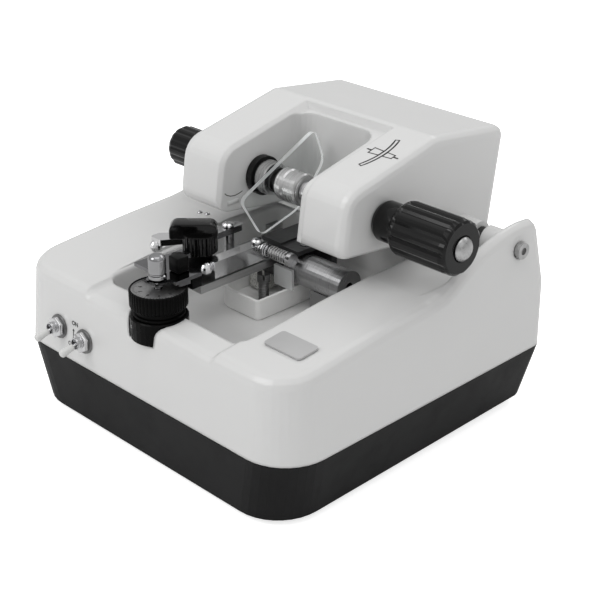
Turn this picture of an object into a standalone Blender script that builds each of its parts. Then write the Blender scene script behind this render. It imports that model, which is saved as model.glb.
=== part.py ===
"""Table-top lens groover: one closed solid per piece, metres, +Z up.

X runs to the right seen from the front, Y to the back. The origin lies on the underside
of the bottom cover, in the middle of the seam between the black skirt and the white casing.
"""

import math

import bmesh
import bpy
from mathutils import Matrix, Vector

MM = 0.001
DEGREE = math.pi / 180
FULL_TURN = 2 * math.pi

# Clearances
GAP = 0.3 * MM
OVERRUN = 3 * MM
BORE_GAP = 0.3 * MM

# Fineness of curves
ROUND_STEPS = 32
SMALL_ROUND_STEPS = 16
CORNER_STEPS = 5
FRONT_CORNER_STEPS = 9
BACK_CORNER_STEPS = 3
SIDE_STEPS = 20
EDGE_STEPS = 3
BROAD_FLUTE_STEPS = 5
FINE_FLUTE_STEPS = 4
PITCH_STEPS = 9
WIRE_STEPS = 6

# Seam between skirt and casing
SEAM_WIDTH = 173 * MM
SEAM_DEPTH = 157 * MM
SEAM_HEIGHT = 25 * MM
FRONT_CORNER = 21 * MM
BACK_CORNER = 5 * MM

# Skirt
SKIRT_FRONT_DROP = 3 * MM
SKIRT_BACK_DROP = 0.7 * MM
SKIRT_SIDE_TAPER = 6.5 * MM
SKIRT_FRONT_TAPER = 2.4 * MM
SKIRT_BACK_TAPER = 3.9 * MM
SKIRT_WALL = 2.9 * MM
LIP_INSET = 3.2 * MM
LIP_WALL = 1.2 * MM
LIP_HEIGHT = 3 * MM
LEDGE_WIDTH = 5 * MM
LEDGE_THICKNESS = 2 * MM

# Bottom cover and feet
COVER_THICKNESS = 1.5 * MM
COVER_PANEL_DROP = 0.5 * MM
COVER_PANEL_MARGIN = 2 * MM
COVER_PANEL_CORNER = 6 * MM
FOOT_RADIUS = 7 * MM
FOOT_TIP_RADIUS = 6 * MM
FOOT_HEIGHT = 5.7 * MM
FOOT_RECESS_RADIUS = 2.5 * MM
FOOT_RECESS_DEPTH = 2 * MM
FOOT_X = 62 * MM
FOOT_Y = 60 * MM

# Casing walls
CASE_DRAFT = 5.3 * DEGREE
CASE_WALL = 2.6 * MM
CASE_BREAK_HEIGHT = 53.5 * MM
CASE_BACK_LEAN = 6.6 * DEGREE
CASE_BACK_TOP_LEAN = 9 * DEGREE
LAND_ROUND = 4.2 * MM
BACK_CORNER_LEAST = 0.8 * MM

# Height of the casing's top edge against its distance from the middle, front to back
TOP_PROFILE = (
    (-80 * MM, 59.4 * MM),
    (-50 * MM, 62.4 * MM),
    (-20 * MM, 65.2 * MM),
    (0 * MM, 66.3 * MM),
    (12 * MM, 67.0 * MM),
    (18 * MM, 68.2 * MM),
    (24 * MM, 71.0 * MM),
    (28.5 * MM, 73.9 * MM),
    (33 * MM, 76.3 * MM),
    (37.8 * MM, 78.3 * MM),
    (43 * MM, 80.0 * MM),
    (48.7 * MM, 81.5 * MM),
    (54 * MM, 82.7 * MM),
    (59.9 * MM, 83.4 * MM),
    (68 * MM, 83.7 * MM),
    (74 * MM, 82.9 * MM),
    (79 * MM, 80.6 * MM),
    (90 * MM, 75.0 * MM),
)

# Deck between the ears, and the open well for the hood's tail
DECK_HEIGHT = 66.8 * MM
DECK_HALF_WIDTH = 77.5 * MM
DECK_FILLET = 4 * MM
WELL_FRONT = 38 * MM
WELL_BACK = 76 * MM
WELL_FLOOR = 48 * MM
REAR_WALL_TOP = 53.4 * MM

# Tray
TRAY_LEFT = -37 * MM
TRAY_RIGHT = 44.5 * MM
TRAY_FRONT = -61.5 * MM
TRAY_BACK = 35.4 * MM
TRAY_FLOOR = 43 * MM
TRAY_CORNER = 5 * MM
TRAY_CORNER_LEAST = 1 * MM
TRAY_FILLET = 9 * MM
TRAY_RIM_ROUND = 2 * MM
TRAY_DRAFT = 2 * DEGREE
FRONT_RIM_DROP = 1.8 * MM
FRONT_RIM_DIAL_DROP = 0.4 * MM
FRONT_RIM_RUN = 5 * MM

# Depth dial and its pocket in the front rim
DIAL_X = 1.5 * MM
DIAL_Y = -66.2 * MM
DIAL_RADIUS = 12 * MM
DIAL_POCKET_GAP = 0.5 * MM
DIAL_LEDGE = 50.2 * MM
COLLAR_BASE = 50.5 * MM
COLLAR_HEIGHT = 9.5 * MM
DIAL_NECK_RADIUS = 10.6 * MM
DIAL_NECK_HEIGHT = 1.2 * MM
DIAL_HEIGHT = 10 * MM
DIAL_RIM = 0.7 * MM
DIAL_FACE_DROP = 0.5 * MM
DIAL_FACE_THICKNESS = 0.8 * MM
DIAL_FLUTES = 24
DIAL_FLUTE_DEPTH = 0.35 * MM
DIAL_CHAMFER = 0.5 * MM

# Chrome post above the dial
POST_STEM_RADIUS = 1.5 * MM
POST_SHOULDER_RADIUS = 2.9 * MM
POST_HEAD_RADIUS = 3.7 * MM
POST_FOOT_HEIGHT = 64 * MM
POST_SHOULDER_LOW = 72.1 * MM
POST_SHOULDER_HIGH = 73.3 * MM
POST_HEAD_LOW = 75.6 * MM
POST_HEAD_HIGH = 85.9 * MM
POST_HEAD_CHAMFER = 0.8 * MM

# Front plate that rests on the post
FRONT_PLATE_LEFT = -17 * MM
FRONT_PLATE_RIGHT = 9.4 * MM
FRONT_PLATE_FRONT = -63.4 * MM
FRONT_PLATE_BACK = -49.8 * MM
FRONT_PLATE_LOW = 73.7 * MM
FRONT_PLATE_THICKNESS = 1.5 * MM
FRONT_PLATE_TILT_ROOM = 0.5 * MM
FRONT_TONGUE_THICKNESS = 1.8 * MM
FRONT_TONGUE_WIDTH = 3.4 * MM
FRONT_TONGUE_DROP = 1.7 * MM
FRONT_TONGUE_LENGTH = 6 * MM

# Guide carriage
BASE_LOW = 59.2 * MM
BASE_THICKNESS = 3.5 * MM
BASE_LEFT = -22 * MM
BASE_LEFT_INNER = -15.5 * MM
BASE_RIGHT_INNER = -6.4 * MM
BASE_RIGHT = -0.8 * MM
BASE_FRONT = -42 * MM
BASE_CROSS_BACK = -24 * MM
BASE_RIGHT_BACK = -1 * MM
CARRIAGE_PIN_Y = 22 * MM
CARRIAGE_PIN_Z = 60.95 * MM
CARRIAGE_PIN_RADIUS = 1 * MM
PIVOT_LUG_THICKNESS = 4.5 * MM
PIVOT_LUG_DEPTH = 7 * MM
PIVOT_LUG_TOP = 65 * MM
PIVOT_PIN_TIP = -14.8 * MM

# Guide arms
RIGHT_ARM_PIVOT_Y = -7.5 * MM
LEFT_ARM_PIVOT_Y = -11 * MM
RIGHT_ARM_PIVOT_X = -3.6 * MM
RIGHT_ARM_LEFT = -6.4 * MM
RIGHT_ARM_RIGHT = -0.8 * MM
RIGHT_ARM_FRONT = -34.2 * MM
RIGHT_ARM_BACK = -3.8 * MM
RIGHT_ARM_LOW = 63.6 * MM
RIGHT_ARM_HIGH = 71.1 * MM
BALL_RADIUS = 2.8 * MM
RIGHT_BALL_Y = -36.5 * MM
RIGHT_BALL_Z = 68.2 * MM
LEFT_ARM_PIVOT_X = -18.1 * MM
LEFT_ARM_LOW = 72.5 * MM
LEFT_ARM_HIGH = 75.3 * MM
LEFT_ARM_OUTLINE = (
    (-20.7 * MM, -4.2 * MM),
    (-20.7 * MM, -21.7 * MM),
    (-33.6 * MM, -37 * MM),
    (-33.6 * MM, -41.6 * MM),
    (-27 * MM, -41.6 * MM),
    (-15.5 * MM, -22.7 * MM),
    (-15.5 * MM, -4.2 * MM),
)
LEFT_ARM_CORNER = 1.2 * MM
LEFT_BALL_X = -30.7 * MM
LEFT_BALL_Y = -40.9 * MM
LEFT_BALL_Z = 71.4 * MM
LEFT_ARM_BOSS_RADIUS = 2.5 * MM
ARM_SCREW_SHANK = 1.3 * MM
ARM_SCREW_HEAD = 2.6 * MM
ARM_SCREW_HEAD_HEIGHT = 1.5 * MM
ARM_SCREW_TIP = 59.7 * MM
SLOT_WIDTH = 0.7 * MM
SLOT_DEPTH = 0.7 * MM

# Tension bolt and spring beside the right arm
TENSION_Y = -3.6 * MM
TENSION_Z = 67.1 * MM
TENSION_START = -0.5 * MM
TENSION_WASHER = 3 * MM
TENSION_WASHER_WIDTH = 0.7 * MM
TENSION_SHANK = 1.5 * MM
TENSION_HEAD_START = 12 * MM
TENSION_HEAD_END = 14.2 * MM
SPRING_RADIUS = 2.55 * MM
SPRING_WIRE = 0.45 * MM
SPRING_CURLS = 7
SPRING_START = 0.95 * MM
SPRING_END = 11.15 * MM

# Selector
SELECTOR_X = -11 * MM
SELECTOR_Y = -33.1 * MM
SELECTOR_LOW = 73.3 * MM
SELECTOR_SKIRT_RADIUS = 7.5 * MM
SELECTOR_SKIRT_HEIGHT = 3 * MM
SELECTOR_BAR_THICKNESS = 7.5 * MM
SELECTOR_BAR_TOP = 86.4 * MM
SELECTOR_BAR_FRONT = 12.5 * MM
SELECTOR_BAR_BACK = 7.5 * MM
SELECTOR_BAR_ROUND = 3.5 * MM
SELECTOR_TURN = 45 * DEGREE
SELECTOR_BAR_LOW = 75.6 * MM
SELECTOR_BLOCK_LEFT = -15.2 * MM
SELECTOR_BLOCK_RIGHT = -8.4 * MM
SELECTOR_BLOCK_FRONT = -47 * MM
SELECTOR_BLOCK_BACK = -28.6 * MM
REAR_TONGUE_LEFT = -14 * MM
REAR_TONGUE_RIGHT = -8 * MM
REAR_TONGUE_BACK = -41 * MM

# Adjusting screw under the right bar
ADJUST_X = 0.1 * MM
ADJUST_Y = -7.5 * MM
ADJUST_SHANK = 2.3 * MM
ADJUST_NUT = 2.85 * MM
ADJUST_NUT_LOW = 54.2 * MM
ADJUST_NUT_HIGH = 57.9 * MM

# Grooving wheel, arbor and bracket
WHEEL_Y = 6 * MM
WHEEL_Z = 59.5 * MM
WHEEL_RADIUS = 5.4 * MM
WHEEL_LEFT = -11.15 * MM
WHEEL_THICKNESS = 0.9 * MM
WHEEL_BEVEL = 0.3 * MM
ARBOR_RADIUS = 1.8 * MM
ARBOR_TIP = 8 * MM
ARBOR_LEFT = -13.5 * MM
ARBOR_FLANGE_RADIUS = 3.2 * MM
BRACKET_LEFT = -9.2 * MM
BRACKET_BLOCK_RIGHT = 3 * MM
BRACKET_PLATE_RIGHT = 13.6 * MM
BRACKET_FRONT = 0.2 * MM
BRACKET_BLOCK_BACK = 12 * MM
BRACKET_BACK = 24 * MM
BRACKET_LEG_THICKNESS = 3.5 * MM
BRACKET_BLOCK_LOW = 54 * MM
BRACKET_BLOCK_HIGH = 70.5 * MM
BRACKET_PLATE_LOW = 67.6 * MM
BRACKET_PLATE_HIGH = 69.6 * MM
BRACKET_SCREW_X = 10 * MM
BRACKET_SCREW_Y = 8.6 * MM
BRACKET_SCREW_RADIUS = 2.7 * MM
BRACKET_SCREW_SOCKET = 1.3 * MM
BRACKET_SCREW_HEIGHT = 1 * MM

# Wheel motor
MOTOR_RADIUS = 7.2 * MM
MOTOR_LEFT = 5.5 * MM
MOTOR_RIGHT = 38 * MM
MOTOR_RING_WIDTH = 2.5 * MM
MOTOR_RING_STEP = 0.5 * MM
SADDLE_LEFT = 20 * MM
SADDLE_RIGHT = 32 * MM
SADDLE_HALF_DEPTH = 5 * MM

# Water cup, sponge and guard
CUP_LEFT = -16.6 * MM
CUP_RIGHT = 10.4 * MM
CUP_FRONT = -20.6 * MM
CUP_BACK = 14 * MM
CUP_TOP = 52 * MM
CUP_WALL = 1.4 * MM
CUP_FLOOR = 1.6 * MM
CUP_FRONT_ROUND = 9 * MM
CUP_CORNER = 2.2 * MM
SPONGE_LEFT = -14.6 * MM
SPONGE_RIGHT = -5.5 * MM
SPONGE_FRONT = -3 * MM
SPONGE_BACK = 12.2 * MM
SPONGE_TOP = 53.6 * MM
SPONGE_ROUND = 1.5 * MM
GUARD_LEFT = 2 * MM
GUARD_RIGHT = 13 * MM
GUARD_FRONT = -3.1 * MM
GUARD_THICKNESS = 1.4 * MM
GUARD_LOW = 52.4 * MM
GUARD_HIGH = 61.5 * MM
GUARD_TAB_LOW = 55 * MM
GUARD_TAB_HIGH = 60 * MM

# Hood, side profile as corners with their rounding radii, counter-clockwise
HOOD_HALF_WIDTH = 50 * MM
HOOD_SIDE_ROUND = 4 * MM
HOOD_WALL = 2.4 * MM
HOOD_PROFILE = (
    (-12.4 * MM, 79.8 * MM, 6 * MM),
    (26.2 * MM, 75.4 * MM, 10 * MM),
    (50 * MM, 62 * MM, 8 * MM),
    (83.6 * MM, 62 * MM, 5 * MM),
    (91.3 * MM, 113 * MM, 4.6 * MM),
    (45.5 * MM, 118.6 * MM, 7 * MM),
    (-8.4 * MM, 106.8 * MM, 11 * MM),
)
HOOD_NOSE_CORNER_COUNT = 6
HOOD_OPENING_FRONT = 0 * MM
HOOD_OPENING_BACK = 79.4 * MM
HOOD_OPENING_LOW = 50 * MM
HOOD_OPENING_HIGH = 84 * MM

# The U cut between the hood's arms, and its stepped rim
NOTCH_LEFT = -23.4 * MM
NOTCH_RIGHT = 22 * MM
NOTCH_BACK = 40 * MM
NOTCH_CORNER = 8 * MM
NOTCH_FRONT = -30 * MM
NOTCH_LOW = 40 * MM
NOTCH_HIGH = 140 * MM
RIM_LEFT = -25 * MM
RIM_RIGHT = 27.5 * MM
RIM_BACK = 44.5 * MM
RIM_RUN = 3 * MM
RIM_DEPTH = 3.4 * MM

# Hinge
HINGE_Y = 62.9 * MM
HINGE_Z = 72.9 * MM
EAR_BOSS_RADIUS = 6 * MM
HOOD_BOSS_OUTER = 61 * MM
HOOD_BOSS_RADIUS = 6.5 * MM
HOOD_BOSS_ROOT = 49 * MM
HINGE_SCREW_SHANK = 2 * MM
HINGE_SCREW_HEAD = 3.6 * MM
HINGE_SCREW_TIP = 53 * MM
HINGE_COUNTERBORE = 4 * MM
HINGE_SEAT = 81.6 * MM
HINGE_SCREW_HEAD_HEIGHT = 2.6 * MM
HINGE_SOCKET_RADIUS = 1.6 * MM
HINGE_SOCKET_DEPTH = 1.4 * MM
HINGE_WASHER_RADIUS = 4.4 * MM
HINGE_WASHER_THICKNESS = 3.7 * MM

# Chuck line
CHUCK_Y = 13 * MM
CHUCK_Z = 91.75 * MM
LENS_LEFT = -11.7 * MM
LENS_THICKNESS = 2 * MM
LENS_TURN = 26 * DEGREE
LENS_OUTLINE = (
    (-22.3 * MM, 7.7 * MM, 3 * MM),
    (-20.3 * MM, -14.5 * MM, 4 * MM),
    (3.1 * MM, -19 * MM, 14 * MM),
    (25.3 * MM, -9 * MM, 7 * MM),
    (26.8 * MM, 7.7 * MM, 3 * MM),
)
PAD_RADIUS = 5.6 * MM
PAD_THICKNESS = 1.4 * MM
LEFT_CHUCK_RADIUS = 7.55 * MM
LEFT_CHUCK_START = -19.7 * MM
CHUCK_CHAMFER = 0.7 * MM
CHUCK_GROOVE_DEPTH = 0.5 * MM
CHUCK_GROOVE_WIDTH = 1 * MM
RIGHT_CHUCK_RADIUS = 7.25 * MM
RIGHT_CHUCK_END = 4.6 * MM
RIGHT_CHUCK_GROOVE = -2.8 * MM
RIGHT_CHUCK_RING_RADIUS = 6.2 * MM
RIGHT_CHUCK_RING_WIDTH = 0.7 * MM
BUSH_FLANGE_RADIUS = 8.8 * MM
BUSH_FLANGE_LEFT = -23.1 * MM
BUSH_NECK_RADIUS = 6 * MM
BUSH_NECK_LEFT = -26.2 * MM
SPINDLE_RADIUS = 2.8 * MM
SPINDLE_LEFT = -73 * MM
SPINDLE_PULLEY_RADIUS = 4.8 * MM
LENS_PULLEY_LEFT = -42 * MM
LENS_PULLEY_WIDTH = 4 * MM
CLAMP_SHAFT_RADIUS = 4.6 * MM
CLAMP_SHAFT_END = 57 * MM

# Knobs on the chuck line
LEFT_KNOB_OUTER = -77.3 * MM
LEFT_KNOB_INNER = -50.6 * MM
LEFT_KNOB_RADIUS = 9.4 * MM
LEFT_KNOB_FLUTES = 15
LEFT_KNOB_FLUTE_DEPTH = 0.5 * MM
LEFT_KNOB_DOME = 1.6 * MM
CLAMP_COLLAR_RADIUS = 8.6 * MM
CLAMP_COLLAR_INNER = 50.4 * MM
CLAMP_KNOB_INNER = 61.3 * MM
CLAMP_KNOB_OUTER = 91.3 * MM
CLAMP_KNOB_RADIUS = 11.8 * MM
CLAMP_KNOB_FLUTES = 12
CLAMP_KNOB_FLUTE_DEPTH = 1.1 * MM
CLAMP_KNOB_ROUND = 1.5 * MM
CLAMP_BORE_END = 72 * MM
CAP_RADIUS = 5.2 * MM
CAP_SEAT_DEPTH = 3 * MM
CAP_DOME = 3.1 * MM

# Lens motor in the hood, and its belt
BELT_THICKNESS = 1 * MM
LENS_MOTOR_Y = 66 * MM
LENS_MOTOR_Z = 92 * MM
LENS_MOTOR_RADIUS = 12 * MM
LENS_MOTOR_LEFT = -30 * MM
LENS_MOTOR_RIGHT = 20 * MM
LENS_FLANGE_THICKNESS = 2.5 * MM
LENS_FLANGE_FRONT = 50 * MM
LENS_FLANGE_BACK = 80 * MM
LENS_FLANGE_LOW = 66.5 * MM
LENS_FLANGE_HIGH = 107 * MM
LENS_MOTOR_SHAFT = 1.5 * MM

# Plate under the hood
UNDERPLATE_THICKNESS = 1.4 * MM
UNDERPLATE_FRONT_CLEARANCE = 12.5 * MM
UNDERPLATE_MIDDLE_CLEARANCE = 9.6 * MM
UNDERPLATE_TAIL_DROP = 3.8 * MM
UNDERPLATE_LINE = (
    (0.4 * MM, DECK_HEIGHT + UNDERPLATE_FRONT_CLEARANCE),
    (26 * MM, DECK_HEIGHT + UNDERPLATE_MIDDLE_CLEARANCE),
    (49.6 * MM, DECK_HEIGHT - UNDERPLATE_TAIL_DROP),
    (79 * MM, DECK_HEIGHT - UNDERPLATE_TAIL_DROP),
)

# Toggle switches
TOGGLE_LEFT_X = -53.5 * MM
TOGGLE_LEFT_Z = 38 * MM
TOGGLE_RIGHT_X = -35.7 * MM
TOGGLE_RIGHT_Z = 37.2 * MM
TOGGLE_BUSHING_RADIUS = 2.7 * MM
TOGGLE_BUSHING_LENGTH = 5.4 * MM
TOGGLE_NUT_RADIUS = 4.1 * MM
TOGGLE_NUT_THICKNESS = 1.8 * MM
TOGGLE_WASHER_RADIUS = 5.25 * MM
TOGGLE_WASHER_THICKNESS = 0.6 * MM
TOGGLE_BODY_WIDTH = 8 * MM
TOGGLE_BODY_HEIGHT = 13 * MM
TOGGLE_BODY_DEPTH = 10 * MM
TOGGLE_MOUTH_RADIUS = 2.2 * MM
TOGGLE_MOUTH_DEPTH = 3.4 * MM
TOGGLE_LEVER_NECK = 0.75 * MM
TOGGLE_LEVER_RADIUS = 1.65 * MM
TOGGLE_LEVER_LENGTH = 9.6 * MM
TOGGLE_SLEEVE_START = 3.2 * MM
TOGGLE_LEVER_DROP = 18 * DEGREE
TOGGLE_BALL = 1 * MM

# Label plate, inlet and board
LABEL_X = 62.8 * MM
LABEL_Y = -51.8 * MM
LABEL_LENGTH = 19.7 * MM
LABEL_DEPTH = 11 * MM
LABEL_THICKNESS = 0.8 * MM
LABEL_CORNER = 1.5 * MM
INLET_X = -55 * MM
INLET_Z = 38 * MM
INLET_BARREL = 3.9 * MM
INLET_FLANGE = 5.4 * MM
INLET_INNER_Y = 70 * MM
INLET_FACE_Y = 82 * MM
INLET_FLANGE_THICKNESS = 1.2 * MM
INLET_SOCKET = 2.8 * MM
INLET_SOCKET_DEPTH = 8 * MM
INLET_PIN = 1 * MM
INLET_PIN_DROP = 1 * MM
BOARD_LEFT = -70 * MM
BOARD_RIGHT = -14 * MM
BOARD_FRONT = -22 * MM
BOARD_BACK = 52 * MM
BOARD_LOW = 7 * MM
BOARD_THICKNESS = 1.6 * MM
BOARD_POST_RADIUS = 2.5 * MM
BOARD_POST_INSET = 5 * MM
BOARD_BLOCKS = (
    (-62 * MM, -12 * MM, 24 * MM, 22 * MM, 20 * MM),
    (-30 * MM, -12 * MM, 11 * MM, 11 * MM, 14 * MM),
    (-60 * MM, 22 * MM, 16 * MM, 20 * MM, 9 * MM),
    (-32 * MM, 18 * MM, 12 * MM, 26 * MM, 6 * MM),
)

# Colours with roughness and metallic share
LOOKS = {
    "white_shell": ((0.8, 0.8, 0.79), 0.25, 0.0),
    "white_hood": ((0.8, 0.8, 0.79), 0.25, 0.0),
    "black_skirt": ((0.02, 0.02, 0.022), 0.35, 0.0),
    "black_knob": ((0.015, 0.015, 0.016), 0.4, 0.0),
    "rubber": ((0.03, 0.03, 0.03), 0.8, 0.0),
    "chrome": ((0.75, 0.75, 0.76), 0.12, 1.0),
    "satin_steel": ((0.6, 0.6, 0.6), 0.35, 1.0),
    "dark_steel": ((0.12, 0.12, 0.12), 0.4, 0.8),
    "grey_plate": ((0.45, 0.45, 0.45), 0.5, 0.0),
    "clear_lens": ((0.9, 0.92, 0.92), 0.05, 0.0),
    "white_plastic": ((0.75, 0.75, 0.74), 0.4, 0.0),
    "guard_plastic": ((0.7, 0.72, 0.72), 0.2, 0.0),
    "sponge": ((0.55, 0.5, 0.35), 0.95, 0.0),
    "board_green": ((0.03, 0.15, 0.06), 0.6, 0.0),
    "inner_plate": ((0.3, 0.3, 0.3), 0.5, 0.0),
    "motor_can": ((0.55, 0.55, 0.55), 0.3, 1.0),
}

HALF = 0.5


def clear_scene():
    for obj in list(bpy.data.objects):
        bpy.data.objects.remove(obj)


def material(name, look):
    """A new Principled material for one piece."""
    colour, roughness, metallic = LOOKS[look]
    made = bpy.data.materials.new(name)
    made.use_nodes = True
    shader = made.node_tree.nodes["Principled BSDF"]
    shader.inputs["Base Color"].default_value = (*colour, 1)
    shader.inputs["Roughness"].default_value = roughness
    shader.inputs["Metallic"].default_value = metallic
    return made


def solid(name, vertices, faces):
    """An object from vertices and faces, its faces turned outward."""
    mesh = bpy.data.meshes.new(name)
    mesh.from_pydata([tuple(vertex) for vertex in vertices], [], faces)
    work = bmesh.new()
    work.from_mesh(mesh)
    bmesh.ops.recalc_face_normals(work, faces=work.faces)
    work.to_mesh(mesh)
    work.free()
    obj = bpy.data.objects.new(name, mesh)
    bpy.context.scene.collection.objects.link(obj)
    return obj


def loft(name, rings, caps="flat", cyclic=False):
    """Join rings of equal length. caps is flat, strip (left to right pairs) or none."""
    size = len(rings[0])
    vertices = [point for ring in rings for point in ring]
    faces = []
    spans = len(rings) if cyclic else len(rings) - 1
    for level in range(spans):
        low = level * size
        high = (level + 1) % len(rings) * size
        for i in range(size):
            j = (i + 1) % size
            faces.append((low + i, low + j, high + j, high + i))
    if not cyclic:
        last = (len(rings) - 1) * size
        for start in (0, last):
            if caps == "flat":
                faces.append(tuple(start + i for i in range(size)))
            if caps == "strip":
                for i in range(size // 2 - 1):
                    mate = size - 1 - i
                    faces.append((start + i, start + i + 1, start + mate - 1, start + mate))
    return solid(name, vertices, faces)


def combine(target, tool, operation):
    """Apply one exact Boolean and remove the tool."""
    step = target.modifiers.new(operation, "BOOLEAN")
    step.operation = operation
    step.solver = "EXACT"
    step.object = tool
    graph = bpy.context.evaluated_depsgraph_get()
    mesh = bpy.data.meshes.new_from_object(target.evaluated_get(graph))
    target.modifiers.clear()
    target.data = mesh
    bpy.data.objects.remove(tool)
    return target


def cut(target, *tools):
    for tool in tools:
        combine(target, tool, "DIFFERENCE")
    return target


def join(target, *pieces):
    for piece in pieces:
        combine(target, piece, "UNION")
    return target


def finish(obj, look, origin=None):
    """Material, smooth shading and, for a moving piece, its origin on the joint's axis."""
    obj.data.materials.clear()
    obj.data.materials.append(material(obj.name, look))
    obj.data.shade_smooth()
    obj.data.set_sharp_from_angle(angle=35 * DEGREE)
    if origin is not None:
        point = Vector(origin)
        obj.data.transform(Matrix.Translation(-point))
        obj.location = point
    return obj


def place(axis, along, a, b):
    """A point from its place along an axis and its two other coordinates, in x, y, z order."""
    if axis == "X":
        return (along, a, b)
    if axis == "Y":
        return (a, along, b)
    return (a, b, along)


def prism(name, axis, outline, low, high):
    """An outline of the two other coordinates, carried along an axis."""
    rings = [[place(axis, along, a, b) for a, b in outline] for along in (low, high)]
    return loft(name, rings)


def block(name, x_span, y_span, z_span):
    outline = [(x_span[0], y_span[0]), (x_span[1], y_span[0]), (x_span[1], y_span[1]), (x_span[0], y_span[1])]
    return prism(name, "Z", outline, z_span[0], z_span[1])


def circle(centre, radius, steps):
    turns = [FULL_TURN * i / steps for i in range(steps)]
    return [(centre[0] + radius * math.cos(t), centre[1] + radius * math.sin(t)) for t in turns]


def turned(name, axis, centre, profile, steps=ROUND_STEPS, hollow=False):
    """A solid of revolution. The profile holds radius and place along the axis."""
    rings = []
    for radius, along in profile:
        rings.append([place(axis, along, a, b) for a, b in circle(centre, radius, steps)])
    return loft(name, rings, cyclic=hollow)


def fluted(name, axis, centre, stations, flutes, points=FINE_FLUTE_STEPS, hollow=False):
    """A turned solid whose stations also hold the depth of their flutes."""
    steps = flutes * points
    rings = []
    for radius, along, depth in stations:
        ring = []
        for i in range(steps):
            turn = FULL_TURN * i / steps
            wave = HALF + HALF * math.cos(flutes * turn)
            reach = radius - depth * wave * wave
            a = centre[0] + reach * math.cos(turn)
            b = centre[1] + reach * math.sin(turn)
            ring.append(place(axis, along, a, b))
        rings.append(ring)
    return loft(name, rings, cyclic=hollow)


def rounded(corners, steps=CORNER_STEPS):
    """A closed outline from corners, each (a, b, radius), with its corners rounded."""
    outline = []
    count = len(corners)
    for i in range(count):
        before = Vector(corners[i - 1][:2])
        here = Vector(corners[i][:2])
        after = Vector(corners[(i + 1) % count][:2])
        radius = corners[i][2]
        to_before = (before - here).normalized()
        to_after = (after - here).normalized()
        opening = to_before.angle(to_after)
        middle = (to_before + to_after).normalized()
        centre = here + middle * (radius / math.sin(opening / 2))
        reach = radius / math.tan(opening / 2)
        start = here + to_before * reach - centre
        sweep = start.angle_signed(here + to_after * reach - centre)
        for step in range(steps + 1):
            turn = Matrix.Rotation(-sweep * step / steps, 2)
            outline.append(tuple(centre + turn @ start))
    return outline


def rectangle(left, right, front, back, radius, steps=CORNER_STEPS):
    corners = [(left, front, radius), (right, front, radius), (right, back, radius), (left, back, radius)]
    return rounded(corners, steps)


def offset(outline, distance):
    """A counter-clockwise outline moved inward."""
    moved = []
    count = len(outline)
    for i in range(count):
        before = Vector(outline[i - 1])
        here = Vector(outline[i])
        after = Vector(outline[(i + 1) % count])
        first = (here - before).normalized()
        second = (after - here).normalized()
        inward_first = Vector((-first.y, first.x))
        inward_second = Vector((-second.y, second.x))
        middle = (inward_first + inward_second).normalized()
        reach = distance / max(middle.dot(inward_first), HALF)
        moved.append(tuple(here + middle * reach))
    return moved


def plan_point(index, half_width, front, back, front_radius, back_radius):
    """One point of the right half of the machine's plan, from the front to the back."""
    if index <= FRONT_CORNER_STEPS:
        turn = (index / FRONT_CORNER_STEPS - 1) * FULL_TURN / 4
        centre = (half_width - front_radius, front + front_radius)
        return (centre[0] + front_radius * math.cos(turn), centre[1] + front_radius * math.sin(turn))
    index -= FRONT_CORNER_STEPS
    low = front + front_radius
    high = back - back_radius
    if index < SIDE_STEPS:
        return (half_width, low + (high - low) * index / SIDE_STEPS)
    index -= SIDE_STEPS
    turn = index / BACK_CORNER_STEPS * FULL_TURN / 4
    centre = (half_width - back_radius, back - back_radius)
    return (centre[0] + back_radius * math.cos(turn), centre[1] + back_radius * math.sin(turn))


PLAN_HALF_COUNT = FRONT_CORNER_STEPS + SIDE_STEPS + BACK_CORNER_STEPS + 1


def mirrored(half):
    """A whole ring from its right half."""
    return half + [(-x, y, z) for x, y, z in reversed(half)]


def interpolate(table, at):
    for (low, first), (high, second) in zip(table, table[1:]):
        if at <= high:
            share = max((at - low) / (high - low), 0)
            return first + (second - first) * share
    return table[-1][1]


def ear_boss_inner():
    return HOOD_BOSS_OUTER + GAP + HINGE_WASHER_THICKNESS + GAP


def deck_height(y):
    return min(interpolate(TOP_PROFILE, y), DECK_HEIGHT)


def case_top():
    return max(height for _, height in TOP_PROFILE)


# Skirt, cover and feet


def skirt_ring(inset, height, follow_drop=False):
    """A ring of the skirt's wall, moved inward from its outer face."""
    half = []
    for index in range(PLAN_HALF_COUNT):
        level = height
        if follow_drop:
            y = plan_point(index, SEAM_WIDTH / 2, -SEAM_DEPTH / 2, SEAM_DEPTH / 2, FRONT_CORNER, BACK_CORNER)[1]
            share = y / SEAM_DEPTH + HALF
            level = -(SKIRT_FRONT_DROP + (SKIRT_BACK_DROP - SKIRT_FRONT_DROP) * share)
        fall = max(SEAM_HEIGHT - level, 0) / (SEAM_HEIGHT + SKIRT_FRONT_DROP)
        half_width = SEAM_WIDTH / 2 - SKIRT_SIDE_TAPER * fall - inset
        front = -SEAM_DEPTH / 2 + SKIRT_FRONT_TAPER * fall + inset
        back = SEAM_DEPTH / 2 - SKIRT_BACK_TAPER * fall - inset
        back_radius = max(BACK_CORNER - inset, BACK_CORNER_LEAST)
        x, y = plan_point(index, half_width, front, back, FRONT_CORNER - inset, back_radius)
        half.append((x, y, level))
    return mirrored(half)


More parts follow.
